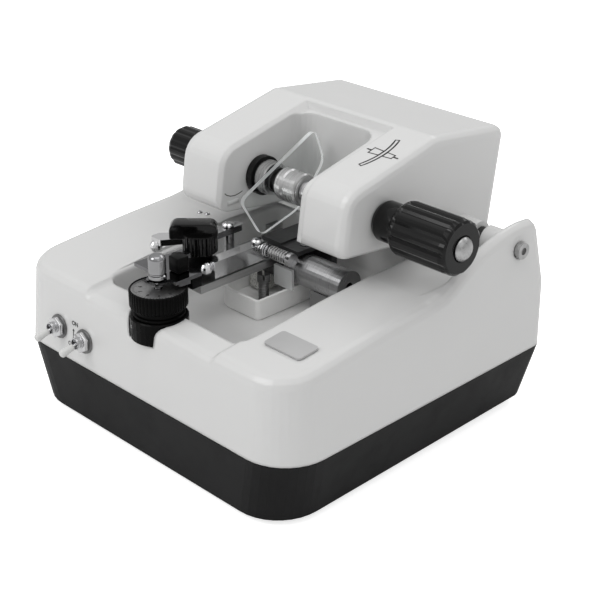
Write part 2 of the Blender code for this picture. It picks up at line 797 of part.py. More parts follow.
def make_skirt():
    top = SEAM_HEIGHT - GAP / 2
    lip_inner = LIP_INSET + LIP_WALL
    ledge_inner = SKIRT_WALL + LEDGE_WIDTH
    ledge_low = COVER_THICKNESS + GAP
    ledge_high = ledge_low + LEDGE_THICKNESS
    rings = [
        skirt_ring(0, 0, follow_drop=True),
        skirt_ring(0, top),
        skirt_ring(LIP_INSET, top),
        skirt_ring(LIP_INSET, top + LIP_HEIGHT),
        skirt_ring(lip_inner, top + LIP_HEIGHT),
        skirt_ring(lip_inner, ledge_high),
        skirt_ring(ledge_inner, ledge_high),
        skirt_ring(ledge_inner, ledge_low),
        skirt_ring(SKIRT_WALL, ledge_low),
        skirt_ring(SKIRT_WALL, 0, follow_drop=True),
    ]
    finish(loft("base_skirt", rings, cyclic=True), "black_skirt")


def make_cover():
    """Sheet cover with a panel pressed down between the feet."""
    inset = SKIRT_WALL + GAP
    rings = [skirt_ring(inset, COVER_PANEL_DROP), skirt_ring(inset, COVER_THICKNESS)]
    cover = loft("bottom_cover", rings)
    half_width = FOOT_X - FOOT_RADIUS - COVER_PANEL_MARGIN
    half_depth = FOOT_Y - FOOT_RADIUS - COVER_PANEL_MARGIN
    outline = rectangle(-half_width, half_width, -half_depth, half_depth, COVER_PANEL_CORNER)
    join(cover, prism("panel", "Z", outline, 0, (COVER_PANEL_DROP + COVER_THICKNESS) / 2))
    finish(cover, "inner_plate")


def make_feet():
    top = COVER_PANEL_DROP - GAP
    low = top - FOOT_HEIGHT
    profile = [
        (FOOT_RADIUS, top),
        (FOOT_TIP_RADIUS, low),
        (FOOT_RECESS_RADIUS, low),
        (FOOT_RECESS_RADIUS, low + FOOT_RECESS_DEPTH),
    ]
    spots = {
        "foot_front_left": (-FOOT_X, -FOOT_Y),
        "foot_front_right": (FOOT_X, -FOOT_Y),
        "foot_back_left": (-FOOT_X, FOOT_Y),
        "foot_back_right": (FOOT_X, FOOT_Y),
    }
    for name, centre in spots.items():
        finish(turned(name, "Z", centre, profile, SMALL_ROUND_STEPS), "rubber")


# Casing


def back_face(height):
    """The back wall leans out up to the break and in above it."""
    low = min(height, CASE_BREAK_HEIGHT) - SEAM_HEIGHT
    high = max(height - CASE_BREAK_HEIGHT, 0)
    return SEAM_DEPTH / 2 + low * math.tan(CASE_BACK_LEAN) - high * math.tan(CASE_BACK_TOP_LEAN)


def case_ring(inset, height_at):
    """A ring of the casing, its height taken from each point's distance from the middle."""
    half = []
    for index in range(PLAN_HALF_COUNT):
        level = SEAM_HEIGHT
        y = plan_point(index, SEAM_WIDTH / 2, -SEAM_DEPTH / 2, SEAM_DEPTH / 2, FRONT_CORNER, BACK_CORNER)[1]
        for _ in range(2):
            level = height_at(y)
            shift = (level - SEAM_HEIGHT) * math.tan(CASE_DRAFT) + inset
            x, y = plan_point(
                index,
                SEAM_WIDTH / 2 - shift,
                -SEAM_DEPTH / 2 + shift,
                back_face(level) - inset,
                FRONT_CORNER - shift,
                max(BACK_CORNER - inset, BACK_CORNER_LEAST),
            )
        half.append((x, y, level))
    return mirrored(half)


def make_case_outside():
    rings = [
        case_ring(0, lambda y: SEAM_HEIGHT + GAP / 2),
        case_ring(0, lambda y: CASE_BREAK_HEIGHT),
    ]
    for step in range(EDGE_STEPS + 1):
        turn = FULL_TURN / 4 * step / EDGE_STEPS
        inset = LAND_ROUND * (1 - math.cos(turn))
        drop = LAND_ROUND * (1 - math.sin(turn))
        rings.append(case_ring(inset, lambda y, drop=drop: interpolate(TOP_PROFILE, y) - drop))
    return loft("upper_casing", rings, caps="strip")


def tray_ring(spread, height_at):
    corner = max(TRAY_CORNER + spread, TRAY_CORNER_LEAST)
    outline = rectangle(TRAY_LEFT - spread, TRAY_RIGHT + spread, TRAY_FRONT - spread, TRAY_BACK + spread, corner)
    return [(x, y, height_at(y)) for x, y in outline]


def make_tray(margin):
    """The tray's hollow, or with a margin the block of material that surrounds it."""
    floor = TRAY_FLOOR - margin
    rings = []
    for step in range(EDGE_STEPS + 1):
        turn = FULL_TURN / 4 * step / EDGE_STEPS
        spread = margin - TRAY_FILLET * (1 - math.sin(turn))
        level = floor + TRAY_FILLET * (1 - math.cos(turn))
        rings.append(tray_ring(spread, lambda y, level=level: level))
    flare = margin + (DECK_HEIGHT - floor - TRAY_FILLET) * math.tan(TRAY_DRAFT)
    for step in range(EDGE_STEPS + 1):
        turn = FULL_TURN / 4 * step / EDGE_STEPS
        spread = flare + TRAY_RIM_ROUND * (1 - math.cos(turn))
        drop = TRAY_RIM_ROUND * (1 - math.sin(turn))
        rings.append(tray_ring(spread, lambda y, drop=drop: deck_height(y) - drop))
    rings.append(tray_ring(spread, lambda y: DECK_HEIGHT + OVERRUN))
    return loft("tray", rings)


def front_rim_stations():
    """Places across the front rim, each with how far the rim is let down there."""
    stations = [(DIAL_X, FRONT_RIM_DIAL_DROP)]
    for step in range(EDGE_STEPS + 1):
        share = step / EDGE_STEPS
        rise = FRONT_RIM_DROP * (1 - math.cos(FULL_TURN / 2 * share))
        reach = FRONT_RIM_RUN * (share - 1 / 2)
        stations.append((TRAY_RIGHT + reach, FRONT_RIM_DROP - rise))
        stations.insert(0, (TRAY_LEFT - reach, FRONT_RIM_DROP - rise))
    return stations


def make_rim_cut(margin):
    """Space above the front rim, which dips from the dial towards both ends of the tray."""
    rings = []
    for x, drop in front_rim_stations():
        lowest = interpolate(TOP_PROFILE, -SEAM_DEPTH / 2) - LAND_ROUND - drop - margin
        face = toggle_wall_y(lowest)
        ring = [(face - OVERRUN, lowest)]
        for step in range(EDGE_STEPS + 1):
            turn = FULL_TURN / 4 * step / EDGE_STEPS
            y = face + LAND_ROUND * (1 - math.cos(turn))
            ring.append((y, interpolate(TOP_PROFILE, y) - drop - margin - LAND_ROUND * (1 - math.sin(turn))))
        back = TRAY_FRONT + TRAY_CORNER
        ring.append((back, interpolate(TOP_PROFILE, back) - drop - margin))
        ring.append((back, case_top() + OVERRUN))
        ring.append((face - OVERRUN, case_top() + OVERRUN))
        place = x + math.copysign(margin, x - DIAL_X) if x != DIAL_X else x
        rings.append([(place, y, z) for y, z in ring])
    return loft("rim_cut", rings)


def make_deck_cut(margin):
    """Space above the deck and the well behind it, open at the top and the back."""
    outline = [
        (TRAY_FRONT, DECK_HEIGHT - margin),
        (WELL_FRONT - margin, DECK_HEIGHT - margin),
        (WELL_FRONT - margin, WELL_FLOOR - margin),
        (WELL_BACK + margin, WELL_FLOOR - margin),
        (WELL_BACK + margin, REAR_WALL_TOP - margin),
        (SEAM_DEPTH, REAR_WALL_TOP - margin),
        (SEAM_DEPTH, SEAM_DEPTH),
        (TRAY_FRONT, SEAM_DEPTH),
    ]
    rings = []
    for side in (-1, 1):
        steps = range(EDGE_STEPS + 1) if side < 0 else range(EDGE_STEPS, -1, -1)
        for step in steps:
            turn = FULL_TURN / 4 * step / EDGE_STEPS
            reach = DECK_HALF_WIDTH + margin - DECK_FILLET * (1 - math.cos(turn))
            lift = DECK_FILLET * (1 - math.sin(turn))
            ring = [(side * reach, y, z + lift if z < DECK_HEIGHT + OVERRUN else z) for y, z in outline]
            rings.append(ring)
    return loft("deck_cut", rings)


def make_case_hollow():
    """The inside of the casing: its outside less the walls, the tray, the well and the dial pocket."""
    rings = [
        case_ring(CASE_WALL, lambda y: SEAM_HEIGHT - OVERRUN),
        case_ring(CASE_WALL, lambda y: CASE_BREAK_HEIGHT),
        case_ring(CASE_WALL + LAND_ROUND / 2, lambda y: deck_height(y) - CASE_WALL),
    ]
    hollow = loft("case_hollow", rings, caps="strip")
    pocket_radius = DIAL_RADIUS + DIAL_POCKET_GAP + CASE_WALL
    pocket_profile = [(pocket_radius, DIAL_LEDGE - CASE_WALL), (pocket_radius, case_top() + OVERRUN)]
    pocket = turned("pocket", "Z", (DIAL_X, DIAL_Y), pocket_profile)
    return cut(hollow, make_tray(CASE_WALL), make_deck_cut(CASE_WALL), make_rim_cut(CASE_WALL), pocket)


def toggle_wall_y(height):
    """The outer face of the front wall at a height."""
    return -SEAM_DEPTH / 2 + (height - SEAM_HEIGHT) * math.tan(CASE_DRAFT)


def make_casing():
    casing = make_case_outside()
    cut(casing, make_case_hollow(), make_deck_cut(0), make_rim_cut(0))
    for side in (-1, 1):
        profile = [(EAR_BOSS_RADIUS, side * ear_boss_inner()), (EAR_BOSS_RADIUS, side * HINGE_SEAT)]
        join(casing, turned("ear_boss", "X", (HINGE_Y, HINGE_Z), profile))
    for side in (-1, 1):
        bore = HINGE_SCREW_SHANK + BORE_GAP
        outside = SEAM_WIDTH / 2 + OVERRUN
        profile = [
            (bore, side * (ear_boss_inner() - OVERRUN)),
            (bore, side * HINGE_SEAT),
            (HINGE_COUNTERBORE, side * HINGE_SEAT),
            (HINGE_COUNTERBORE, side * outside),
        ]
        cut(casing, turned("ear_bore", "X", (HINGE_Y, HINGE_Z), profile, SMALL_ROUND_STEPS))
    pocket_radius = DIAL_RADIUS + DIAL_POCKET_GAP
    pocket_profile = [(pocket_radius, DIAL_LEDGE), (pocket_radius, case_top() + OVERRUN)]
    cut(casing, make_tray(0), turned("pocket", "Z", (DIAL_X, DIAL_Y), pocket_profile))
    for x, z in ((TOGGLE_LEFT_X, TOGGLE_LEFT_Z), (TOGGLE_RIGHT_X, TOGGLE_RIGHT_Z)):
        bore = TOGGLE_BUSHING_RADIUS + BORE_GAP
        face = toggle_wall_y(z)
        profile = [(bore, face - OVERRUN), (bore, face + CASE_WALL + OVERRUN)]
        cut(casing, turned("toggle_bore", "Y", (x, z), profile, SMALL_ROUND_STEPS))
    bore = INLET_BARREL + BORE_GAP
    profile = [(bore, INLET_INNER_Y), (bore, INLET_FACE_Y + OVERRUN)]
    cut(casing, turned("inlet_bore", "Y", (INLET_X, INLET_Z), profile, SMALL_ROUND_STEPS))
    finish(casing, "white_shell")


def make_label():
    outline = rectangle(-LABEL_LENGTH / 2, LABEL_LENGTH / 2, -LABEL_DEPTH / 2, LABEL_DEPTH / 2, LABEL_CORNER)
    label = prism("label_plate", "Z", outline, 0, LABEL_THICKNESS)
    low = deck_height(LABEL_Y - LABEL_DEPTH / 2)
    high = deck_height(LABEL_Y + LABEL_DEPTH / 2)
    slope = math.atan2(high - low, LABEL_DEPTH)
    label.data.transform(Matrix.Rotation(slope, 4, "X"))
    label.data.transform(Matrix.Translation((LABEL_X, LABEL_Y, (low + high) / 2 + GAP)))
    finish(label, "grey_plate")


def make_inlet():
    flange = INLET_FACE_Y - INLET_FLANGE_THICKNESS
    profile = [
        (INLET_BARREL, INLET_INNER_Y),
        (INLET_BARREL, flange),
        (INLET_FLANGE, flange),
        (INLET_FLANGE, INLET_FACE_Y),
        (INLET_SOCKET, INLET_FACE_Y),
        (INLET_SOCKET, INLET_FACE_Y - INLET_SOCKET_DEPTH),
        (INLET_PIN, INLET_FACE_Y - INLET_SOCKET_DEPTH),
        (INLET_PIN, INLET_FACE_Y - INLET_PIN_DROP),
    ]
    finish(turned("power_inlet", "Y", (INLET_X, INLET_Z), profile, SMALL_ROUND_STEPS), "black_knob")


def make_board():
    top = BOARD_LOW + BOARD_THICKNESS
    board = block("circuit_board", (BOARD_LEFT, BOARD_RIGHT), (BOARD_FRONT, BOARD_BACK), (BOARD_LOW, top))
    for x, y, width, depth, height in BOARD_BLOCKS:
        part = block("board_block", (x, x + width), (y, y + depth), (BOARD_LOW + BOARD_THICKNESS / 2, top + height))
        join(board, part)
    for x in (BOARD_LEFT + BOARD_POST_INSET, BOARD_RIGHT - BOARD_POST_INSET):
        for y in (BOARD_FRONT + BOARD_POST_INSET, BOARD_BACK - BOARD_POST_INSET):
            profile = [(BOARD_POST_RADIUS, COVER_THICKNESS + GAP), (BOARD_POST_RADIUS, BOARD_LOW + GAP)]
            join(board, turned("board_post", "Z", (x, y), profile, SMALL_ROUND_STEPS))
    finish(board, "board_green")


# Toggle switches, built along +Z and turned to the wall's outward direction


def toggle_frame(x, z):
    """Where the switch meets the wall, its +Z along the wall's outward direction."""
    point = Vector((x, toggle_wall_y(z), z))
    return Matrix.Translation(point) @ Matrix.Rotation(FULL_TURN / 4 - CASE_DRAFT, 4, "X")


def make_toggle(side, x, z):
    inside = -(CASE_WALL / math.cos(CASE_DRAFT) + GAP)
    washer = GAP + TOGGLE_WASHER_THICKNESS
    nut = washer + TOGGLE_NUT_THICKNESS
    end = TOGGLE_BUSHING_LENGTH
    body_top = inside - TOGGLE_WASHER_THICKNESS
    profile = [
        (TOGGLE_BUSHING_RADIUS, body_top - TOGGLE_BODY_DEPTH / 2),
        (TOGGLE_BUSHING_RADIUS, GAP),
        (TOGGLE_WASHER_RADIUS, GAP),
        (TOGGLE_WASHER_RADIUS, washer),
        (TOGGLE_NUT_RADIUS, washer),
        (TOGGLE_NUT_RADIUS, nut),
        (TOGGLE_BUSHING_RADIUS, nut),
        (TOGGLE_BUSHING_RADIUS, end),
        (TOGGLE_MOUTH_RADIUS, end),
        (TOGGLE_MOUTH_RADIUS, end - TOGGLE_MOUTH_DEPTH),
    ]
    switch = turned("toggle_switch_" + side, "Z", (0, 0), profile, SMALL_ROUND_STEPS)
    body = block(
        "toggle_body",
        (-TOGGLE_BODY_WIDTH / 2, TOGGLE_BODY_WIDTH / 2),
        (-TOGGLE_BODY_HEIGHT / 2, TOGGLE_BODY_HEIGHT / 2),
        (body_top - TOGGLE_BODY_DEPTH, body_top),
    )
    join(switch, body)
    frame = toggle_frame(x, z)
    switch.data.transform(frame)
    finish(switch, "chrome")
    pivot = end - TOGGLE_MOUTH_DEPTH + TOGGLE_BALL + GAP
    lever_profile = [
        (TOGGLE_LEVER_NECK, -TOGGLE_BALL * HALF),
        (TOGGLE_BALL, 0),
        (TOGGLE_LEVER_NECK, TOGGLE_BALL * HALF),
        (TOGGLE_LEVER_NECK, TOGGLE_SLEEVE_START),
        (TOGGLE_LEVER_RADIUS, TOGGLE_SLEEVE_START),
        (TOGGLE_LEVER_RADIUS, TOGGLE_LEVER_LENGTH - TOGGLE_LEVER_NECK),
        (TOGGLE_LEVER_RADIUS - TOGGLE_LEVER_NECK, TOGGLE_LEVER_LENGTH),
    ]
    lever = turned("toggle_lever_" + side, "Z", (0, 0), lever_profile, SMALL_ROUND_STEPS)
    lever.data.transform(Matrix.Rotation(TOGGLE_LEVER_DROP, 4, "X"))
    lever.data.transform(frame @ Matrix.Translation((0, 0, pivot)))
    finish(lever, "white_plastic", frame @ Vector((0, 0, pivot)))


# Depth dial and post


def dial_base():
    return COLLAR_BASE + COLLAR_HEIGHT + GAP


def make_dial():
    centre = (DIAL_X, DIAL_Y)
    bore = POST_STEM_RADIUS + BORE_GAP
    top = COLLAR_BASE + COLLAR_HEIGHT
    collar_profile = [
        (bore, COLLAR_BASE),
        (DIAL_RADIUS, COLLAR_BASE),
        (DIAL_RADIUS, top - DIAL_CHAMFER),
        (DIAL_RADIUS - DIAL_CHAMFER, top),
        (bore, top),
    ]
    finish(turned("dial_collar", "Z", centre, collar_profile, hollow=True), "black_knob")
    low = dial_base()
    skirt = low + DIAL_NECK_HEIGHT
    high = skirt + DIAL_HEIGHT
    seat_radius = DIAL_RADIUS - DIAL_RIM
    seat = high - DIAL_FACE_DROP - DIAL_FACE_THICKNESS - GAP
    stations = [
        (bore, low, 0),
        (DIAL_NECK_RADIUS, low, 0),
        (DIAL_NECK_RADIUS, skirt, 0),
        (DIAL_RADIUS - DIAL_CHAMFER, skirt, 0),
        (DIAL_RADIUS, skirt + DIAL_CHAMFER, DIAL_FLUTE_DEPTH),
        (DIAL_RADIUS, high - DIAL_CHAMFER, DIAL_FLUTE_DEPTH),
        (DIAL_RADIUS - DIAL_CHAMFER / 2, high, 0),
        (seat_radius, high, 0),
        (seat_radius, seat, 0),
        (bore, seat, 0),
    ]
    dial = fluted("depth_dial", "Z", centre, stations, DIAL_FLUTES, hollow=True)
    finish(dial, "black_knob", (DIAL_X, DIAL_Y, low))
    face_low = seat + GAP
    face_radius = seat_radius - GAP
    face_profile = [
        (bore, face_low),
        (face_radius, face_low),
        (face_radius, face_low + DIAL_FACE_THICKNESS),
        (bore, face_low + DIAL_FACE_THICKNESS),
    ]
    finish(turned("dial_face", "Z", centre, face_profile, hollow=True), "satin_steel")


def make_post():
    profile = [
        (POST_STEM_RADIUS, POST_FOOT_HEIGHT),
        (POST_STEM_RADIUS, POST_SHOULDER_LOW),
        (POST_SHOULDER_RADIUS, POST_SHOULDER_LOW),
        (POST_SHOULDER_RADIUS, POST_SHOULDER_HIGH),
        (POST_STEM_RADIUS, POST_SHOULDER_HIGH),
        (POST_STEM_RADIUS, POST_HEAD_LOW),
        (POST_HEAD_RADIUS, POST_HEAD_LOW),
        (POST_HEAD_RADIUS, POST_HEAD_HIGH - POST_HEAD_CHAMFER),
        (POST_HEAD_RADIUS - POST_HEAD_CHAMFER, POST_HEAD_HIGH),
    ]
    post = turned("depth_post", "Z", (DIAL_X, DIAL_Y), profile, SMALL_ROUND_STEPS)
    finish(post, "chrome", (DIAL_X, DIAL_Y, POST_SHOULDER_HIGH))


def selector_block_top():
    return SELECTOR_LOW - GAP


def make_front_plate():
    """Plate under the post's head, a tongue back onto the selector's block and a bent one at its right."""
    high = FRONT_PLATE_LOW + FRONT_PLATE_THICKNESS
    back = DIAL_Y + POST_HEAD_RADIUS
    plate = block(
        "front_plate",
        (FRONT_PLATE_LEFT, FRONT_PLATE_RIGHT),
        (FRONT_PLATE_FRONT, FRONT_PLATE_BACK),
        (FRONT_PLATE_LOW, high),
    )
    ear_outline = rectangle(
        DIAL_X - POST_HEAD_RADIUS, DIAL_X + POST_HEAD_RADIUS, DIAL_Y - POST_HEAD_RADIUS, back + OVERRUN, POST_STEM_RADIUS
    )
    join(plate, prism("ear", "Z", ear_outline, FRONT_PLATE_LOW, high))
    rear = block(
        "rear_tongue",
        (REAR_TONGUE_LEFT, REAR_TONGUE_RIGHT),
        (FRONT_PLATE_BACK - OVERRUN, REAR_TONGUE_BACK),
        (selector_block_top() + GAP, high),
    )
    join(plate, rear)
    start = FRONT_PLATE_FRONT + FRONT_TONGUE_THICKNESS
    tip = start + FRONT_TONGUE_LENGTH
    inner = FRONT_PLATE_RIGHT - FRONT_TONGUE_WIDTH
    lower = FRONT_PLATE_LOW - FRONT_TONGUE_DROP
    tongue_outline = [
        (start, high - FRONT_PLATE_THICKNESS / 2),
        (start, FRONT_PLATE_LOW - FRONT_PLATE_THICKNESS),
        (tip, lower),
        (tip, lower + FRONT_PLATE_THICKNESS),
        (start + FRONT_TONGUE_THICKNESS, high - FRONT_PLATE_THICKNESS / 2),
    ]
    join(plate, prism("tongue", "X", tongue_outline, inner, FRONT_PLATE_RIGHT - GAP))
    bore = POST_STEM_RADIUS + BORE_GAP + FRONT_PLATE_TILT_ROOM
    hole = turned("hole", "Z", (DIAL_X, DIAL_Y), [(bore, BASE_LOW), (bore, POST_HEAD_HIGH)], SMALL_ROUND_STEPS)
    cut(plate, hole)
    finish(plate, "satin_steel")


# Guide carriage


def make_guide_base():
    high = BASE_LOW + BASE_THICKNESS
    base = block("guide_base", (BASE_LEFT, BASE_RIGHT), (BASE_FRONT, BASE_CROSS_BACK), (BASE_LOW, high))
    right = block(
        "right_bar", (BASE_RIGHT_INNER, BASE_RIGHT), (BASE_CROSS_BACK - OVERRUN, BASE_RIGHT_BACK), (BASE_LOW, high)
    )
    end = CARRIAGE_PIN_Y + BASE_THICKNESS / 2
    left = block("left_bar", (BASE_LEFT, BASE_LEFT_INNER), (BASE_CROSS_BACK - OVERRUN, end), (BASE_LOW, high))
    join(base, right, left)
    bore = ARM_SCREW_SHANK + BORE_GAP
    for pivot in ((RIGHT_ARM_PIVOT_X, RIGHT_ARM_PIVOT_Y), (LEFT_ARM_PIVOT_X, LEFT_ARM_PIVOT_Y)):
        profile = [(bore, BASE_LOW - OVERRUN), (bore, high + OVERRUN)]
        cut(base, turned("arm_bore", "Z", pivot, profile, SMALL_ROUND_STEPS))
    pin_bore = CARRIAGE_PIN_RADIUS + BORE_GAP
    profile = [(pin_bore, BASE_LEFT - OVERRUN), (pin_bore, BASE_LEFT_INNER + OVERRUN)]
    cut(base, turned("pin_bore", "X", (CARRIAGE_PIN_Y, CARRIAGE_PIN_Z), profile, SMALL_ROUND_STEPS))
    finish(base, "grey_plate", (0, CARRIAGE_PIN_Y, CARRIAGE_PIN_Z))


def make_carriage_pivot():
    right = BASE_LEFT - GAP
    lug = block(
        "carriage_pivot",
        (right - PIVOT_LUG_THICKNESS, right),
        (CARRIAGE_PIN_Y - PIVOT_LUG_DEPTH / 2, CARRIAGE_PIN_Y + PIVOT_LUG_DEPTH / 2),
        (TRAY_FLOOR + GAP, PIVOT_LUG_TOP),
    )
    profile = [(CARRIAGE_PIN_RADIUS, right - PIVOT_LUG_THICKNESS / 2), (CARRIAGE_PIN_RADIUS, PIVOT_PIN_TIP)]
    join(lug, turned("pin", "X", (CARRIAGE_PIN_Y, CARRIAGE_PIN_Z), profile, SMALL_ROUND_STEPS))
    finish(lug, "satin_steel")


def make_ball(centre):
    """A ball screwed into the end of a guide arm, as a turned profile."""
    levels = 6
    profile = []
    for step in range(levels + 1):
        turn = FULL_TURN / 2 * (step + HALF) / (levels + 1)
        profile.append((BALL_RADIUS * math.sin(turn), centre[2] - BALL_RADIUS * math.cos(turn)))
    return turned("ball", "Z", centre[:2], profile, SMALL_ROUND_STEPS)


def make_arm_screw(name, x, y, seat):
    head = seat + GAP
    top = head + ARM_SCREW_HEAD_HEIGHT
    profile = [
        (ARM_SCREW_SHANK, ARM_SCREW_TIP),
        (ARM_SCREW_SHANK, head),
        (ARM_SCREW_HEAD, head),
        (ARM_SCREW_HEAD, top - SLOT_DEPTH),
        (ARM_SCREW_HEAD - SLOT_DEPTH, top),
    ]
    screw = turned(name, "Z", (x, y), profile, SMALL_ROUND_STEPS)
    slot = block(
        "slot",
        (x - ARM_SCREW_HEAD - OVERRUN, x + ARM_SCREW_HEAD + OVERRUN),
        (y - SLOT_WIDTH / 2, y + SLOT_WIDTH / 2),
        (top - SLOT_DEPTH, top + OVERRUN),
    )
    finish(cut(screw, slot), "chrome")


def make_guide_arms():
    bore = ARM_SCREW_SHANK + BORE_GAP
    arm = block(
        "right_guide_arm",
        (RIGHT_ARM_LEFT, RIGHT_ARM_RIGHT),
        (RIGHT_ARM_FRONT, RIGHT_ARM_BACK),
        (RIGHT_ARM_LOW, RIGHT_ARM_HIGH),
    )
    join(arm, make_ball((RIGHT_ARM_PIVOT_X, RIGHT_BALL_Y, RIGHT_BALL_Z)))
    profile = [(bore, RIGHT_ARM_LOW - OVERRUN), (bore, RIGHT_ARM_HIGH + OVERRUN)]
    cut(arm, turned("bore", "Z", (RIGHT_ARM_PIVOT_X, RIGHT_ARM_PIVOT_Y), profile, SMALL_ROUND_STEPS))
    finish(arm, "chrome", (RIGHT_ARM_PIVOT_X, RIGHT_ARM_PIVOT_Y, RIGHT_ARM_LOW))
    outline = rounded([(x, y, LEFT_ARM_CORNER) for x, y in LEFT_ARM_OUTLINE], 2)
    arm = prism("left_guide_arm", "Z", outline, LEFT_ARM_LOW, LEFT_ARM_HIGH)
    boss_low = BASE_LOW + BASE_THICKNESS + GAP
    boss_profile = [(LEFT_ARM_BOSS_RADIUS, boss_low), (LEFT_ARM_BOSS_RADIUS, LEFT_ARM_LOW + GAP)]
    join(arm, make_ball((LEFT_BALL_X, LEFT_BALL_Y, LEFT_BALL_Z)))
    join(arm, turned("boss", "Z", (LEFT_ARM_PIVOT_X, LEFT_ARM_PIVOT_Y), boss_profile, SMALL_ROUND_STEPS))
    profile = [(bore, boss_low - OVERRUN), (bore, LEFT_ARM_HIGH + OVERRUN)]
    cut(arm, turned("bore", "Z", (LEFT_ARM_PIVOT_X, LEFT_ARM_PIVOT_Y), profile, SMALL_ROUND_STEPS))
    finish(arm, "chrome", (LEFT_ARM_PIVOT_X, LEFT_ARM_PIVOT_Y, LEFT_ARM_LOW))
    make_arm_screw("right_arm_screw", RIGHT_ARM_PIVOT_X, RIGHT_ARM_PIVOT_Y, RIGHT_ARM_HIGH)
    make_arm_screw("left_arm_screw", LEFT_ARM_PIVOT_X, LEFT_ARM_PIVOT_Y, LEFT_ARM_HIGH)


def make_tension():
    centre = (TENSION_Y, TENSION_Z)
    washer_end = TENSION_START + TENSION_WASHER_WIDTH
    profile = [
        (TENSION_WASHER, TENSION_START),
        (TENSION_WASHER, washer_end),
        (TENSION_SHANK, washer_end),
        (TENSION_SHANK, TENSION_HEAD_START),
        (TENSION_WASHER, TENSION_HEAD_START),
        (TENSION_WASHER, TENSION_HEAD_END),
    ]
    finish(turned("tension_bolt", "X", centre, profile, SMALL_ROUND_STEPS), "chrome")
    length = SPRING_END - SPRING_START
    steps = SPRING_CURLS * PITCH_STEPS
    rings = []
    for step in range(steps + 1):
        turn = FULL_TURN * step / PITCH_STEPS
        outward = Vector((0, math.cos(turn), math.sin(turn)))
        middle = Vector((SPRING_START + length * step / steps, *centre)) + outward * SPRING_RADIUS
        ring = []
        for i in range(WIRE_STEPS):
            side = FULL_TURN * i / WIRE_STEPS
            reach = outward * math.cos(side) + Vector((math.sin(side), 0, 0))
            ring.append(middle + reach * SPRING_WIRE)
        rings.append(ring)
    finish(loft("guide_spring", rings), "chrome")
    print("spring gap to itself (mm):", round((length / SPRING_CURLS - 2 * SPRING_WIRE) / MM, 2))


def make_selector():
    centre = (SELECTOR_X, SELECTOR_Y)
    skirt_top = SELECTOR_LOW + SELECTOR_SKIRT_HEIGHT
    profile = [
        (SELECTOR_SKIRT_RADIUS, SELECTOR_LOW),
        (SELECTOR_SKIRT_RADIUS, skirt_top - DIAL_CHAMFER),
        (SELECTOR_SKIRT_RADIUS - DIAL_CHAMFER, skirt_top),
    ]
    knob = turned("selector_knob", "Z", centre, profile)
    half = SELECTOR_BAR_THICKNESS / 2
    radius = SELECTOR_BAR_ROUND
    outline = rounded(
        [
            (-SELECTOR_BAR_BACK, SELECTOR_BAR_LOW, GAP),
            (SELECTOR_BAR_FRONT, SELECTOR_BAR_LOW, GAP),
            (SELECTOR_BAR_FRONT, SELECTOR_BAR_TOP, radius),
            (-SELECTOR_BAR_BACK, SELECTOR_BAR_TOP, radius),
        ]
    )
    bar = prism("bar", "Y", outline, -half, half)
    turn = Matrix.Translation((*centre, 0)) @ Matrix.Rotation(FULL_TURN / 2 + SELECTOR_TURN, 4, "Z")
    bar.data.transform(turn)
    join(knob, bar)
    finish(knob, "black_knob", (*centre, SELECTOR_LOW))
    body = block(
        "selector_block",
        (SELECTOR_BLOCK_LEFT, SELECTOR_BLOCK_RIGHT),
        (SELECTOR_BLOCK_FRONT, SELECTOR_BLOCK_BACK),
        (BASE_LOW + BASE_THICKNESS + GAP, selector_block_top()),
    )
    finish(body, "black_knob")


def cup_floor():
    return TRAY_FLOOR + GAP + CUP_FLOOR


def make_adjust_screw():
    """Stop screw that stands in the cup, under the edge of the right bar."""
    tip = cup_floor() + GAP
    profile = [
        (ADJUST_SHANK - SLOT_DEPTH, tip),
        (ADJUST_SHANK, tip + SLOT_DEPTH),
        (ADJUST_SHANK, ADJUST_NUT_LOW),
        (ADJUST_NUT, ADJUST_NUT_LOW),
        (ADJUST_NUT, ADJUST_NUT_HIGH),
    ]
    finish(turned("adjust_screw", "Z", (ADJUST_X, ADJUST_Y), profile, SMALL_ROUND_STEPS), "satin_steel")


# Grooving wheel and its drive


def make_wheel_drive():
    centre = (WHEEL_Y, WHEEL_Z)
    wheel_right = WHEEL_LEFT + WHEEL_THICKNESS
    middle = (WHEEL_LEFT + wheel_right) / 2
    bore = ARBOR_RADIUS + BORE_GAP
    wheel_profile = [
        (bore, WHEEL_LEFT),
        (WHEEL_RADIUS - WHEEL_BEVEL, WHEEL_LEFT),
        (WHEEL_RADIUS, middle),
        (WHEEL_RADIUS - WHEEL_BEVEL, wheel_right),
        (bore, wheel_right),
    ]
    wheel = turned("grooving_wheel", "X", centre, wheel_profile, hollow=True)
    finish(wheel, "satin_steel", (middle, *centre))
    flange = WHEEL_LEFT - GAP
    profile = [
        (ARBOR_FLANGE_RADIUS, ARBOR_LEFT),
        (ARBOR_FLANGE_RADIUS, flange),
        (ARBOR_RADIUS, flange),
        (ARBOR_RADIUS, ARBOR_TIP),
    ]
    finish(turned("wheel_arbor", "X", centre, profile, SMALL_ROUND_STEPS), "chrome", (middle, *centre))


